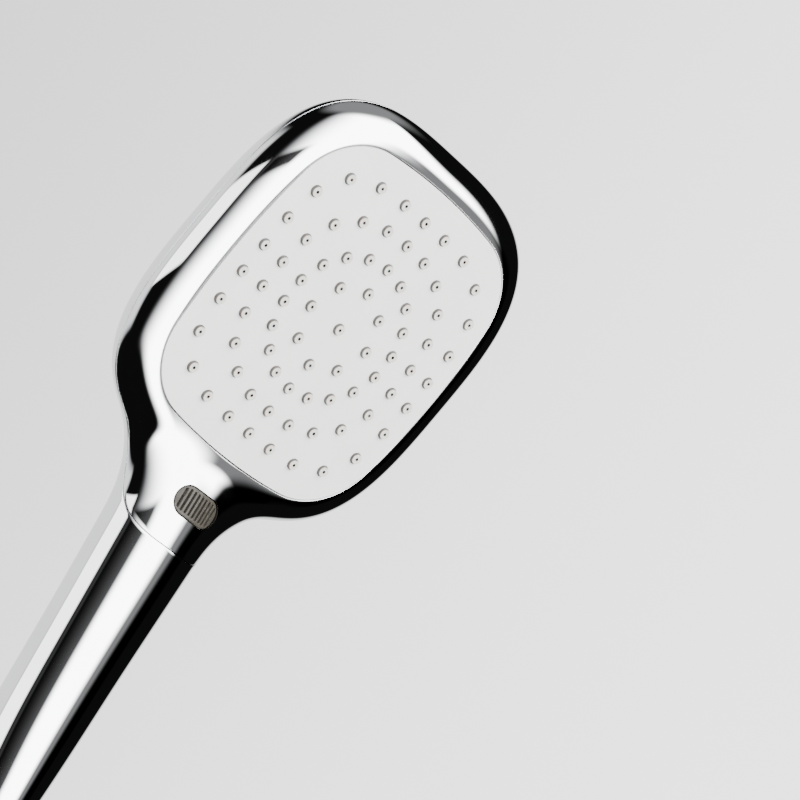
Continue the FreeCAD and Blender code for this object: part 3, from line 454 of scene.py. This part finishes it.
def rear_shell(body, around=50, rows=40, tall=90):
    """The rear housing as grids that share their edges: the dome, from the middle of the back out to
    its rim; the handle, from its foot up to the seam in front and the dome's rim behind; the same
    two a wall further in; and the turned edges along the seam and round the foot."""
    upper, lower = seam_half(body)
    size = body.size
    wall = size["wall"]
    corner = upper[-1]
    sweep = np.linspace(math.atan2(corner[1], corner[0]), math.pi / 2, around)
    axis = np.array([0, 0, SEAM_TURN[1]])
    back = body.meet(axis + np.zeros((around, 3)), axis + turned(SIDE_RAY, 0, sweep))
    back[0] = corner

    # Dome: its rim goes from the top of the head down the right side and round the back of the neck.
    rim = mirrored(np.concatenate([upper, back[1:]]), (1, 1))
    u, v, d = body.to_head(rim)
    share = np.linspace(0, 1, rows)[:, None] * (math.pi / 2)
    top = size["seam_depth"] + size["dome_depth"]
    across, up = u * np.sin(share), v * np.sin(share)
    inner = 0.6
    core = body.from_head(inner * across, inner * up, np.minimum(d, size["seam_depth"]) + 0 * share)
    dome = body.meet(core[1:], body.from_head(across, up, d + (top - d) * np.cos(share))[1:])
    apex = body.meet(body.from_head(0.0, 0.0, size["seam_depth"]), body.from_head(0.0, 0.0, top))
    dome = np.concatenate([np.broadcast_to(apex, (1,) + dome.shape[1:]), dome])
    dome[-1] = rim
    joint = len(upper) - 1
    on_seam = np.ones(len(rim), bool)
    on_seam[joint + 1:len(rim) - joint] = False
    draw_back(dome, body, on_seam)

    # Handle: each column goes straight up from the foot, at its own angle about the axis.
    front = mirrored(lower, (1, 0))
    behind = mirrored(back, (1, 0))[1:-1]
    brim = np.concatenate([front, behind[::-1]])
    way = np.arctan2(brim[:, 1], brim[:, 0])
    foot = GRIP_STATIONS[0, 0] + size["edge"]
    height = foot + (brim[:, 2] - foot) * np.linspace(0, 1, tall)[:, None]
    axis = np.stack([0 * height, 0 * height, height], -1)
    handle = body.meet(axis, axis + turned(SIDE_RAY + 0 * height, 0 * height, way))
    handle[-1] = brim
    run = slice(1, len(front) - 1)
    draw_back(handle, body, run)
    handle[-1, 0] = dome[-1, joint]
    handle[-1, len(front) - 1] = dome[-1, len(rim) - joint]

    dome_normal, handle_normal = body.normal(dome), body.normal(handle)
    dome_in, handle_in = dome - dome_normal * wall, handle - handle_normal * wall
    # Seam edge: down the right side, round the front of the neck and up the left side.
    right, left = np.arange(0, joint + 1), np.arange(len(rim) - joint, len(rim))

    def along_seam(on_dome, on_handle):
        return np.concatenate([on_dome[right], on_handle[run], on_dome[left]])

    edge = along_seam(dome[-1], handle[-1])
    turned_in = edge_rows(edge, along_seam(dome[-2] - dome[-1], handle[-2] - handle[-1]),
                          along_seam(dome_normal[-1], handle_normal[-1]), size["edge"], wall)
    seam = np.concatenate([edge[None], turned_in, along_seam(dome_in[-1], handle_in[-1])[None]])
    sole = edge_rows(handle[0], handle[1] - handle[0], handle_normal[0], size["edge"], wall)
    sole = np.concatenate([handle[:1], sole, handle_in[:1]])
    return [dome, dome_in, handle, handle_in, seam, sole]


# ---- meshes

def grid_faces(rows, columns, round_rows=False):
    """Quads of a grid of rows by columns. The last column joins the first, and if the rows are round,
    the last row joins the first too."""
    r, c = np.meshgrid(np.arange(rows if round_rows else rows - 1), np.arange(columns), indexing="ij")
    across, down = (c + 1) % columns, (r + 1) % rows
    quads = [r * columns + c, r * columns + across, down * columns + across, down * columns + c]
    return np.stack(quads, -1).reshape(-1, 4)


def link_mesh(name, points, faces, merge):
    """An object in the scene from points in millimetres and faces, welded."""
    mesh = bpy.data.meshes.new(name)
    mesh.from_pydata((points * MM).tolist(), [], faces)
    weld(mesh, merge)
    piece = bpy.data.objects.new(name, mesh)
    bpy.context.scene.collection.objects.link(piece)
    return piece


def mesh_piece(name, *grids, merge=1e-6, round_rows=False):
    """One object from grids of points, welded where they coincide."""
    faces, start = [], 0
    for grid in grids:
        rows, columns = grid.shape[:2]
        faces.append(grid_faces(rows, columns, round_rows) + start)
        start += rows * columns
    points = np.concatenate([grid.reshape(-1, 3) for grid in grids])
    return link_mesh(name, points, np.concatenate(faces).tolist(), merge)


def weld(mesh, merge):
    """Make points that coincide one, drop faces without width, and turn the outsides outwards."""
    work = bmesh.new()
    work.from_mesh(mesh)
    bmesh.ops.remove_doubles(work, verts=work.verts, dist=merge)
    bmesh.ops.dissolve_degenerate(work, edges=work.edges, dist=merge)
    bmesh.ops.recalc_face_normals(work, faces=work.faces)
    if work.calc_volume(signed=True) < 0:
        bmesh.ops.reverse_faces(work, faces=work.faces)
    work.to_mesh(mesh)
    work.free()


def finish_piece(piece, slot, node, body_name="shower", crease=35.0):
    """Shade a piece smooth but for creases of more degrees than the limit, and give it the finish of
    its record slot, its body and the CAD node that it stands for."""
    piece.data.shade_smooth()
    piece.data.set_sharp_from_angle(angle=math.radians(crease))
    piece.data.materials.clear()
    piece.data.materials.append(make_finish(SLOT_FINISHES[slot]))
    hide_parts(node)
    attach(piece, body_name)


# ---- materials

def new_group(name, inputs, outputs):
    """A shader node group, and its two ends. Inputs are names with their kind; outputs are floats."""
    group = bpy.data.node_groups.new(name, "ShaderNodeTree")
    for label, kind in inputs:
        group.interface.new_socket(label, in_out="INPUT", socket_type="NodeSocket" + kind)
    for label in outputs:
        group.interface.new_socket(label, in_out="OUTPUT", socket_type="NodeSocketFloat")
    return group, group.nodes.new("NodeGroupInput"), group.nodes.new("NodeGroupOutput")


def add_node(tree, kind, sources=(), **settings):
    """A node with its settings, and its inputs: pairs of input name or number and what feeds it, a
    socket or a plain value."""
    node = tree.nodes.new("ShaderNode" + kind)
    for name, value in settings.items():
        setattr(node, name, value)
    for socket, source in sources:
        if isinstance(source, bpy.types.NodeSocket):
            tree.links.new(source, node.inputs[socket])
        else:
            node.inputs[socket].default_value = source
    return node


def calc(tree, operation, *values, clamp=False):
    """Result of a Math node on numbers or sockets."""
    return add_node(tree, "Math", enumerate(values), operation=operation, use_clamp=clamp).outputs[0]


def ramp(tree, value, low, high, to=(0.0, 1.0), curve="SMOOTHSTEP"):
    """Result of a Map Range node from low..high to a new range."""
    return add_node(tree, "MapRange", (
        ("Value", value), ("From Min", low), ("From Max", high), ("To Min", to[0]), ("To Max", to[1])),
        interpolation_type=curve).outputs["Result"]


def noise(tree, place, scale, detail, roughness=0.5):
    """Result of a Noise Texture node."""
    return add_node(tree, "TexNoise", (
        ("Vector", place), ("Scale", scale), ("Detail", detail), ("Roughness", roughness))).outputs["Fac"]


def blend_colour(tree, share, first, second):
    """First colour mixed into the second by a share between 0 and 1."""
    return add_node(tree, "Mix", ((0, share), (6, first), (7, second)), data_type="RGBA").outputs[2]


def mottle_group():
    """Uneven finish: a cloudy mask between 0 and 1, and the height of a fine grain, both from noise on
    Object coordinates that Stretch squeezes along the axes."""
    group, given, out = new_group("mottle", (
        ("Cloud Scale", "Float"), ("Grain Scale", "Float"), ("Stretch", "Vector")), ("Cloud", "Grain"))
    place = add_node(group, "TexCoord").outputs["Object"]
    squeezed = add_node(group, "VectorMath", ((0, place), (1, given.outputs["Stretch"])),
                        operation="MULTIPLY").outputs["Vector"]
    cloud = noise(group, squeezed, given.outputs["Cloud Scale"], 4.0, 0.55)
    grain = noise(group, squeezed, given.outputs["Grain Scale"], 2.0, 0.6)
    group.links.new(ramp(group, cloud, 0.32, 0.68), out.inputs["Cloud"])
    group.links.new(grain, out.inputs["Grain"])
    return group


def lime_group():
    """Dried water: thin rings round scattered drops, as a mask. The distance to the nearest drop makes
    a ring where it equals a drop's radius, and a slow noise leaves most drops out."""
    group, given, out = new_group("lime_marks", (("Scale", "Float"), ("Amount", "Float")), ("Mask",))
    place = add_node(group, "TexCoord").outputs["Object"]
    drops = add_node(group, "TexVoronoi", (("Vector", place), ("Scale", given.outputs["Scale"])))
    wobbly = calc(group, "MULTIPLY_ADD", noise(group, place, 900.0, 2.0), 0.12, drops.outputs["Distance"])
    off_ring = calc(group, "ABSOLUTE", calc(group, "SUBTRACT", wobbly, 0.26))
    patches = ramp(group, noise(group, place, 45.0, 1.0), 0.5, 0.66, curve="LINEAR")
    rings = calc(group, "MULTIPLY", ramp(group, off_ring, 0.045, 0.0), patches)
    group.links.new(calc(group, "MULTIPLY", rings, given.outputs["Amount"], clamp=True), out.inputs["Mask"])
    return group


def shade_and_dirt_group():
    """Painted shade, with some dirt, on steep walls, such as a nozzle's sides and a groove's: a mask that
    rises as the surface turns away from an axis."""
    group, given, out = new_group("wall_shade_and_dirt", (("Axis", "Vector"), ("Amount", "Float")), ("Mask",))
    facing = add_node(group, "VectorMath", (
        (0, add_node(group, "TexCoord").outputs["Normal"]), (1, given.outputs["Axis"])),
        operation="DOT_PRODUCT")
    steep = ramp(group, calc(group, "ABSOLUTE", facing.outputs["Value"]), 0.9, 0.45)
    group.links.new(calc(group, "MULTIPLY", steep, given.outputs["Amount"], clamp=True), out.inputs["Mask"])
    return group


# Each finish is named as its colour is. Dull is the share of the colour left where the finish is dull;
# rough goes from the bright parts to the dull ones; cloud and grain are noise scales; stretch squeezes
# them; bump is the grain's height in millimetres; lime is how much water has dried on it.
Finish = namedtuple("Finish", "dull metallic rough cloud grain bump stretch lime sockets",
                    defaults=((1, 1, 1), 0.0, {}))
FINISHES = {
    "chrome": Finish(0.965, 1.0, (0.022, 0.05), 38.0, 2600.0, 0.0, lime=0.03),
    "plate": Finish(0.955, 0.0, (0.30, 0.40), 60.0, 3800.0, 0.006, lime=0.22),
    "nozzles": Finish(0.86, 0.0, (0.42, 0.56), 900.0, 5200.0, 0.006, lime=0.15,
                      sockets={"Subsurface Weight": 0.18, "Subsurface Scale": 0.0015}),
    "button": Finish(0.72, 0.0, (0.26, 0.42), 420.0, 4200.0, 0.006, lime=0.10,
                     sockets={"Specular IOR Level": 0.25}),
    "rubber": Finish(0.6, 0.0, (0.5, 0.68), 260.0, 3000.0, 0.01),
    "waterway": Finish(0.8, 0.0, (0.38, 0.52), 120.0, 2600.0, 0.008),
    "valve": Finish(0.93, 0.0, (0.30, 0.42), 200.0, 3000.0, 0.005,
                    sockets={"Subsurface Weight": 0.1, "Subsurface Scale": 0.001}),
    "screws": Finish(0.75, 1.0, (0.20, 0.34), 500.0, 2600.0, 0.003, stretch=(1, 1, 0.2)),
    "springs": Finish(0.7, 1.0, (0.18, 0.32), 700.0, 2600.0, 0.002),
    "inlet": Finish(0.88, 1.0, (0.06, 0.16), 150.0, 2400.0, 0.002, stretch=(1, 1, 3), lime=0.5),
    "cartridge": Finish(0.8, 0.0, (0.34, 0.48), 220.0, 2600.0, 0.006),
    "filter": Finish(0.6, 1.0, (0.28, 0.45), 800.0, 3400.0, 0.004),
}
LIME_SCALE, LIME_COLOUR, LIME_ROUGHNESS = 210.0, (0.80, 0.80, 0.78, 1), 0.5

# Finishes with painted shade and some dirt on their steep walls: the way that the open faces point, and how
# much.
WALL_SHADE_AND_DIRT = {"nozzles": ((0, -math.cos(FACE_LEAN), -math.sin(FACE_LEAN)), 0.85), "button": ((0, -1, 0), 0.7)}
# Colour of the painted shade and dirt on steep walls.
WALL_SHADE_AND_DIRT_COLOUR = (0.045, 0.04, 0.033, 1)


def make_finish(name):
    """The named material, built once: a duller and a brighter colour mixed by the cloudy mask, which
    also drives the roughness, with a fine grain as bump, lime marks where water dries and painted
    shade with some dirt on steep walls."""
    if name in bpy.data.materials:
        return bpy.data.materials[name]
    finish = FINISHES[name]
    main = tuple(getattr(bpy.context.scene.shower_colours, name))
    made = bpy.data.materials.new(name)
    made.use_nodes = True
    tree = made.node_tree
    surface = tree.nodes["Principled BSDF"]
    for socket, value in {"Metallic": finish.metallic, **finish.sockets}.items():
        surface.inputs[socket].default_value = value

    def effect(group_name, build, **inputs):
        group = bpy.data.node_groups.get(group_name) or build()
        named = [(socket.replace("_", " "), value) for socket, value in inputs.items()]
        return add_node(tree, "Group", named, node_tree=group).outputs

    uneven = effect("mottle", mottle_group, Cloud_Scale=finish.cloud, Grain_Scale=finish.grain,
                    Stretch=finish.stretch)
    colour = blend_colour(tree, uneven["Cloud"], (*(c * finish.dull for c in main), 1), (*main, 1))
    rough = ramp(tree, uneven["Cloud"], 0.0, 1.0, finish.rough[::-1], "LINEAR")
    if finish.lime:
        marks = effect("lime_marks", lime_group, Scale=LIME_SCALE, Amount=finish.lime)["Mask"]
        colour = blend_colour(tree, marks, colour, LIME_COLOUR)
        rough = calc(tree, "MULTIPLY_ADD", marks, LIME_ROUGHNESS, rough, clamp=True)
    # Painted shade, with some dirt, darkens the steep walls of the nozzles and of the button's grooves.
    if name in WALL_SHADE_AND_DIRT:
        axis, amount = WALL_SHADE_AND_DIRT[name]
        shade_and_dirt = effect("wall_shade_and_dirt", shade_and_dirt_group, Axis=axis, Amount=amount)["Mask"]
        colour = blend_colour(tree, shade_and_dirt, colour, WALL_SHADE_AND_DIRT_COLOUR)
    tree.links.new(colour, surface.inputs["Base Color"])
    tree.links.new(rough, surface.inputs["Roughness"])
    if finish.bump:
        relief = add_node(tree, "Bump", (
            ("Height", uneven["Grain"]), ("Distance", finish.bump * MM), ("Strength", 1.0)))
        tree.links.new(relief.outputs["Normal"], surface.inputs["Normal"])
    return made


# ---- operators

class BuildShells(bpy.types.Operator):
    """Chrome front cover and rear housing"""

    bl_idname = "hand_shower.shells"
    bl_label = "Shells"

    def execute(self, context):
        body = Body(context.scene.shower_sizes)
        front = mesh_piece("front_cover_skin", front_shell(body), round_rows=True)
        cut_window(front, body)
        finish_piece(front, "chrome_plate", "front_cover")
        rear = mesh_piece("rear_housing_skin", *rear_shell(body))
        finish_piece(rear, "chrome_plate", "rear_housing")
        return {"FINISHED"}


def slot_outline(half_w, half_l, count):
    """Points round a slot: two straight sides and two half circles."""
    turn = np.linspace(-np.pi / 2, np.pi / 2, count)
    straight = half_w - half_l
    right = np.stack([straight + half_l * np.cos(turn), half_l * np.sin(turn)], -1)
    return np.concatenate([right, -right])


def inner_volume(mesh):
    """Volume that a closed mesh holds."""
    work = bmesh.new()
    work.from_mesh(mesh)
    volume = work.calc_volume(signed=True)
    work.free()
    return volume


def cut_window(front, body):
    """Cut the button's window through the front cover."""
    whole = inner_volume(front.data)
    size = body.size
    gap, before, behind = size["button_gap"], -20.0, -6.0
    outline = slot_outline(size["button_w"] / 2 + gap, size["button_l"] / 2 + gap, 24)
    count = len(outline)
    points = np.zeros((2, count, 3))
    points[..., 0] = outline[:, 0]
    points[..., 1] = np.array([before, behind])[:, None]
    points[..., 2] = outline[:, 1] + size["button_height"]
    faces = grid_faces(2, count).tolist() + [list(range(count))[::-1], list(range(count, 2 * count))]
    cutter = link_mesh("window_cutter", points.reshape(-1, 3), faces, 1e-7)
    cut = front.modifiers.new("window", "BOOLEAN")
    cut.operation = "DIFFERENCE"
    cut.solver = "EXACT"
    cut.object = cutter
    bpy.context.view_layer.update()
    result = front.evaluated_get(bpy.context.evaluated_depsgraph_get())
    front.data = bpy.data.meshes.new_from_object(result)
    front.modifiers.clear()
    bpy.data.objects.remove(cutter)
    if not 0 < inner_volume(front.data) < whole:
        raise RuntimeError("the button's window wasn't cut cleanly")


def thread_radius(height, turn, sizes):
    """Radius of a right-hand thread: halfway between root and crest, plus a wave of the height over
    the pitch less the turn, steepened and clipped to flat roots and crests. It fades out to the root
    at both ends."""
    crest, root = sizes["thread_crest"], sizes["thread_root"]
    steep, run_out = 1.35, 0.9
    wave = np.cos(2 * np.pi * height / sizes["thread_pitch"] - turn)
    tooth = 0.5 + 0.5 * np.clip(steep * wave, -1, 1)
    lead = np.clip(height / run_out, 0, 1)
    tail = np.clip((sizes["thread_length"] - height) / run_out, 0, 1)
    fade = lead * lead * (3 - 2 * lead) * tail * tail * (3 - 2 * tail)
    return root + (crest - root) * tooth * fade


def inlet_grid(sizes, rows=110, columns=96):
    """The inlet connector as one closed grid: its profile of radius and height turned about Z, with
    the thread's rows at the thread's own radius."""
    bore, collar, plug, neck, socket, throat = 7.2, 11.9, 9.9, 8.6, 5.6, 4.3
    root, length = sizes["thread_root"], sizes["thread_length"]
    before = np.array([(bore, 0.4), (bore + 0.4, 0.0)])
    after = np.array([
        # undercut, then the collar with its bevel
        (root, length + 1.1), (collar - 0.25, length + 1.1), (collar, length + 1.35),
        (collar, length + 1.95), (plug, length + 1.95),
        # plug with the O-ring's groove, then the neck up to the top
        (plug, 16.2), (plug - 1.5, 16.2), (plug - 1.5, 17.9), (plug, 17.9), (plug, 24.0),
        (neck, 25.0), (neck, 32.0),
        # inside, downwards: socket with its groove, throat and bore
        (socket, 32.0), (socket, 29.4), (socket + 1.55, 29.4), (socket + 1.55, 27.6),
        (socket, 27.6), (socket, 24.2), (throat, 24.2), (throat, 20.0), (bore, 20.0)])
    height = np.linspace(0, length, rows)[:, None]
    turn = np.linspace(0, 2 * np.pi, columns, endpoint=False)
    return np.concatenate([
        turned(before[:, :1], before[:, 1:], turn),
        turned(thread_radius(height, turn, sizes), height, turn),
        turned(after[:, :1], after[:, 1:], turn)])


def button_grid(size, rows=34, columns=240):
    """The button as one closed grid. Each column runs out from the slot's middle line, over the face
    and its rounded rim, down the side, round the flange and back underneath. The face is a barrel
    about Z with grooves a pitch apart, each a cosine dip that fades out at its ends."""
    half = size["button_l"] / 2
    straight = size["button_w"] / 2 - half
    outline = slot_outline(size["button_w"] / 2, half, columns // 4)
    run = np.linspace(straight, -straight, columns // 3)[1:-1]
    turns = columns // 4
    outline = np.concatenate([
        outline[:turns], np.stack([run, np.full_like(run, half)], -1),
        outline[turns:], np.stack([-run, np.full_like(run, -half)], -1)])
    spine = np.stack([np.clip(outline[:, 0], -straight, straight), 0 * outline[:, 0]], -1)
    share = np.sin(np.linspace(0, np.pi / 2, rows))[:, None, None]
    face = spine + (outline - spine) * share
    x, z = face[..., 0], face[..., 1]
    barrel, rim = 26.0, 0.45
    depth = size["button_front"] - (barrel - np.sqrt(barrel ** 2 - x ** 2))
    inset = np.clip(rim - half * (1 - share[..., 0]), 0, rim)
    depth = depth - (rim - np.sqrt(np.maximum(rim ** 2 - inset ** 2, 0)))
    pitch, each_side, flare, margin, fade = size["rib_pitch"], 4, 0.12, 0.7, 0.5
    count = np.clip(np.round(x / pitch), -each_side, each_side)
    across = np.clip(np.abs(x - count * pitch) / (size["rib_groove"] / 2 + flare), 0, 1)
    past = np.maximum(np.abs(x) - straight, 0)
    room = np.minimum(size["rib_length"] / 2, np.sqrt(np.maximum(half ** 2 - past ** 2, 0)) - margin)
    ends = np.clip((room - np.abs(z)) / fade, 0, 1)
    depth = depth - size["rib_depth"] * (0.5 + 0.5 * np.cos(np.pi * across)) * ends * ends * (3 - 2 * ends)
    top = np.stack([x, -depth, z], -1)
    low, flange, ledge = 6.4, 7.5, 0.9
    wide = spine + (outline - spine) * (half + ledge) / half

    def ring(points, y):
        return np.stack([points[:, 0], np.full(len(points), -y), points[:, 1]], -1)

    grid = np.concatenate([top, np.stack([
        ring(outline, flange), ring(wide, flange), ring(wide, low), ring(outline, low), ring(spine, low)])])
    return grid + np.array([0, 0, size["button_height"]])


def coil_grid(mean, wire, low, high, turns, per_turn=40, around=10):
    """A compression spring about Z as one closed tube: a helix whose ends lie flat, with a round wire
    carried along it and closed to a point at both ends."""
    flat = 0.75
    at = np.linspace(0, turns, int(turns * per_turn))
    live = np.clip((at - flat) / (turns - 2 * flat), 0, 1)
    height = low + wire + (high - low - 2 * wire) * live
    turn = 2 * np.pi * at
    path = turned(mean, height, turn)
    along = unit(np.gradient(path, axis=0))
    out = np.stack([np.cos(turn), np.sin(turn), 0 * turn], -1)
    up = np.cross(out, along)
    thick = np.full(len(at), wire)
    thick[[0, -1]] = 0
    roll = np.linspace(0, 2 * np.pi, around, endpoint=False)[None, :, None]
    return path[:, None] + thick[:, None, None] * (out[:, None] * np.cos(roll) + up[:, None] * np.sin(roll))


class BuildButton(bpy.types.Operator):
    """Ribbed push button"""

    bl_idname = "hand_shower.button"
    bl_label = "Button"

    def execute(self, context):
        size = Body(context.scene.shower_sizes).size
        button = mesh_piece("button_cap", button_grid(size), merge=2e-6)
        finish_piece(button, "button_grip", "select_button", "button")
        return {"FINISHED"}


class BuildInlet(bpy.types.Operator):
    """Threaded inlet connector"""

    bl_idname = "hand_shower.inlet"
    bl_label = "Inlet connector"

    def execute(self, context):
        size = Body(context.scene.shower_sizes).size
        inlet = mesh_piece("inlet_thread_piece", inlet_grid(size), round_rows=True)
        finish_piece(inlet, "inlet_chrome", "inlet_connector")
        return {"FINISHED"}


# Each spring: the CAD node, the joint and its travel, mean radius, wire radius, where the moving end
# and the fixed end are along the axis at rest, and the turns. Millimetres.
SPRINGS = {
    "button_coil": ("button_spring", "button_press", 2.0, 4.9, 0.28, 3.2, 7.4, 4),
    "check_valve_coil": ("check_valve_spring", "check_valve_lift", 1.8, 2.3, 0.22, 8.0, 15.15, 5),
}


class BuildSprings(bpy.types.Operator):
    """Springs of the button and of the check valve"""

    bl_idname = "hand_shower.springs"
    bl_label = "Springs"

    def execute(self, context):
        height = context.scene.shower_sizes.button_height
        for name, (node, joint, travel, mean, wire, low, high, turns) in SPRINGS.items():
            grid, axis, anchor = coil_grid(mean, wire, low, high, turns), (0, 0, 1), (0, 0, high * MM)
            if joint == "button_press":  # this one lies along Y, behind the button
                grid = np.stack([grid[..., 0], grid[..., 2], height / MM - grid[..., 1]], -1)
                axis, anchor = (0, 1, 0), (0, high * MM, height)
            spring = mesh_piece(name, grid)
            finish_piece(spring, "spring_steel", node, crease=60.0)
            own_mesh(spring)
        return {"FINISHED"}


# Finish of each record slot.
SLOT_FINISHES = {
    "chrome_plate": "chrome", "white_plate": "plate", "nozzle_silicone": "nozzles",
    "seal_rubber": "rubber", "waterway_plastic": "waterway", "screw_steel": "screws",
    "valve_plastic": "valve", "button_grip": "button", "spring_steel": "springs",
    "inlet_chrome": "inlet", "cartridge_plastic": "cartridge", "filter_mesh": "filter",
}


class DressFrameParts(bpy.types.Operator):
    """Finishes of the plate, the nozzles and the inner parts"""

    bl_idname = "hand_shower.dress"
    bl_label = "Plate, nozzles and inner parts"

    def execute(self, context):
        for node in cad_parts.values():
            slot = node.material_slots[0]
            slot.material = make_finish(SLOT_FINISHES[slot.material.name.split(".")[0]])
        return {"FINISHED"}


class BuildStage(bpy.types.Operator):
    """Floor, studio light and camera"""

    bl_idname = "hand_shower.stage"
    bl_label = "Stage"

    def execute(self, context):
        settings = context.scene.shower_stage
        data = bpy.data.cameras.new("camera")
        data.lens = settings.lens
        data.sensor_width = 36.0
        data.clip_end = 50.0
        camera = bpy.data.objects.new("camera", data)
        context.scene.collection.objects.link(camera)
        a, e = settings.azimuth, settings.elevation
        back = Vector((math.sin(a) * math.cos(e), -math.cos(a) * math.cos(e), math.sin(e)))
        right = Vector((math.cos(a), math.sin(a), 0))
        up = back.cross(right)
        turn = Matrix((right, up, back)).transposed().to_4x4()
        camera.matrix_world = (Matrix.Translation(Vector(settings.aim) + back * settings.distance) @ turn
                               @ Matrix.Rotation(settings.roll, 4, "Z"))
        context.scene.camera = camera

        build_studio(context.scene)
        build_floor(settings)
        return {"FINISHED"}


# Inputs of the soft box group: where a ray goes, the window's edges, and the fade outside each.
WINDOW = ("Azimuth", "Elevation", "Left", "Right", "Low", "High",
          "Fade Left", "Fade Right", "Fade Low", "Fade High")


def soft_box_group():
    """Mask of one soft light: 1 inside a window of azimuth and elevation in degrees, fading to 0 over
    its edges by smooth steps."""
    group, given, out = new_group("soft_box", [(name, "Float") for name in WINDOW], ("Mask",))
    mask = 1.0
    for value, edge, outwards in (("Azimuth", "Left", "SUBTRACT"), ("Azimuth", "Right", "ADD"),
                                  ("Elevation", "Low", "SUBTRACT"), ("Elevation", "High", "ADD")):
        inner = given.outputs[edge]
        outer = calc(group, outwards, inner, given.outputs["Fade " + edge])
        mask = calc(group, "MULTIPLY", ramp(group, given.outputs[value], outer, inner), mask)
    group.links.new(mask, out.inputs["Mask"])
    return group


# Soft lights round the object: left, right, low and high edge, and the width of the fade outside
# each, in degrees of azimuth from the front and of elevation, then brightness and how steeply it falls.
SOFT_BOXES = (
    ("front wall", 5.0, 42.0, -36.0, 50.0, 70.0, 10.0, 18.0, 22.0, 11.0, 2.0),
    ("side strip", -102.0, -64.0, -9.0, 5.0, 6.0, 7.0, 3.0, 3.0, 4.0, 1.0),
    ("back wall right", 124.0, 200.0, -24.0, 21.0, 16.0, 5.0, 14.0, 16.0, 1.5, 1.0),
    ("back wall left", -200.0, -114.0, -24.0, 21.0, 5.0, 16.0, 14.0, 16.0, 1.5, 1.0),
    ("ceiling", -200.0, 200.0, 70.0, 100.0, 1.0, 1.0, 16.0, 1.0, 0.3, 1.0),
)
# Black flags in front of the lights, with the same edges and fades, and the share of light they stop.
FLAGS = (
    ("narrow flag", -46.0, -16.0, 0.0, 5.5, 12.0, 14.0, 5.0, 5.0, 0.985),
    ("low card", 38.0, 62.0, -22.0, 8.0, 12.0, 6.0, 8.0, 10.0, 0.975),
)
DARK_ROOM = 0.006

# Backdrop: the way it brightens, how far that way it starts and ends, and its darkest and brightest.
BACKDROP_WAY, BACKDROP_SPAN, BACKDROP_LIGHT = (0.68, -0.53, 0.0), (-0.12, 0.18), (1.5, 3.0)

FLOOR_HALF, FLOOR_COLOUR = 6.0, (0.82, 0.82, 0.81, 1)


def build_studio(scene):
    """World of soft lights for reflections, and a plain pale backdrop where the camera looks past the
    object."""
    world = bpy.data.worlds.new("studio")
    scene.world = world
    world.use_nodes = True
    tree = world.node_tree
    tree.nodes.clear()
    way = add_node(tree, "TexCoord").outputs["Generated"]
    x, y, z = add_node(tree, "SeparateXYZ", ((0, way),)).outputs
    azimuth = calc(tree, "DEGREES", calc(tree, "ARCTAN2", x, calc(tree, "MULTIPLY", y, -1.0)))
    elevation = calc(tree, "DEGREES", calc(tree, "ARCSINE", z))
    group = soft_box_group()

    def window(name, edges):
        return add_node(tree, "Group", enumerate((azimuth, elevation, *edges)), node_tree=group,
                        label=name).outputs["Mask"]

    light = DARK_ROOM
    for name, *edges, brightness, steepness in SOFT_BOXES:
        mask = calc(tree, "POWER", window(name, edges), steepness)
        light = calc(tree, "MULTIPLY_ADD", mask, brightness, light)
    for name, *edges, share in FLAGS:
        light = calc(tree, "MULTIPLY", light, calc(tree, "MULTIPLY_ADD", window(name, edges), -share, 1.0))
    studio = add_node(tree, "Background", (("Color", light),))

    across = add_node(tree, "VectorMath", ((0, way), (1, BACKDROP_WAY)), operation="DOT_PRODUCT")
    shade = ramp(tree, across.outputs["Value"], *BACKDROP_SPAN, BACKDROP_LIGHT)
    backdrop = add_node(tree, "Background", (("Color", shade),))
    seen = add_node(tree, "LightPath").outputs["Is Camera Ray"]
    mix = add_node(tree, "MixShader", ((0, seen), (1, studio.outputs[0]), (2, backdrop.outputs[0])))
    add_node(tree, "OutputWorld", (("Surface", mix.outputs[0]),))


def build_floor(settings):
    """A wide plain floor. It isn't mirrored in the chrome, which sees the soft lights."""
    corners = [(x * FLOOR_HALF, y * FLOOR_HALF, settings.floor_height)
               for x, y in ((-1, -1), (1, -1), (1, 1), (-1, 1))]
    mesh = bpy.data.meshes.new("floor")
    mesh.from_pydata(corners, [], [(0, 1, 2, 3)])
    floor = bpy.data.objects.new("floor", mesh)
    bpy.context.scene.collection.objects.link(floor)
    paint = bpy.data.materials.new("floor")
    paint.use_nodes = True
    paint.node_tree.nodes["Principled BSDF"].inputs["Base Color"].default_value = FLOOR_COLOUR
    mesh.materials.append(paint)
    floor.visible_glossy = False


class HandShowerPanel(bpy.types.Panel):
    """Lists the builders and the sizes and colours they read."""

    bl_label = "Hand Shower"
    bl_idname = "HAND_SHOWER_PT_panel"
    bl_space_type = "VIEW_3D"
    bl_region_type = "UI"
    bl_category = "Hand Shower"

    def draw(self, context):
        for step in STEPS:
            self.layout.operator(step.bl_idname)
        for name in SETTINGS:
            settings = getattr(context.scene, name)
            box = self.layout.box()
            box.label(text=name.split("_")[1].title())
            for setting in settings.__annotations__:
                box.prop(settings, setting)


STEPS = (BuildStage, DressFrameParts, BuildShells, BuildButton, BuildInlet, BuildSprings)
SETTINGS = {"shower_sizes": ShowerSizes, "shower_colours": FinishColours, "shower_stage": StageSettings}
CLASSES = (*SETTINGS.values(), *STEPS, HandShowerPanel)


def register():
    for each in CLASSES:
        bpy.utils.register_class(each)
    for name, group in SETTINGS.items():
        setattr(bpy.types.Scene, name, bpy.props.PointerProperty(type=group))


def unregister():
    for name in SETTINGS:
        delattr(bpy.types.Scene, name)
    for each in reversed(CLASSES):
        bpy.utils.unregister_class(each)


def main():
    """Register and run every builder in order."""
    register()
    for step in STEPS:
        group, name = step.bl_idname.split(".")
        getattr(getattr(bpy.ops, group), name)()
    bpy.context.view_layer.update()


if __name__ == "__main__":
    main()
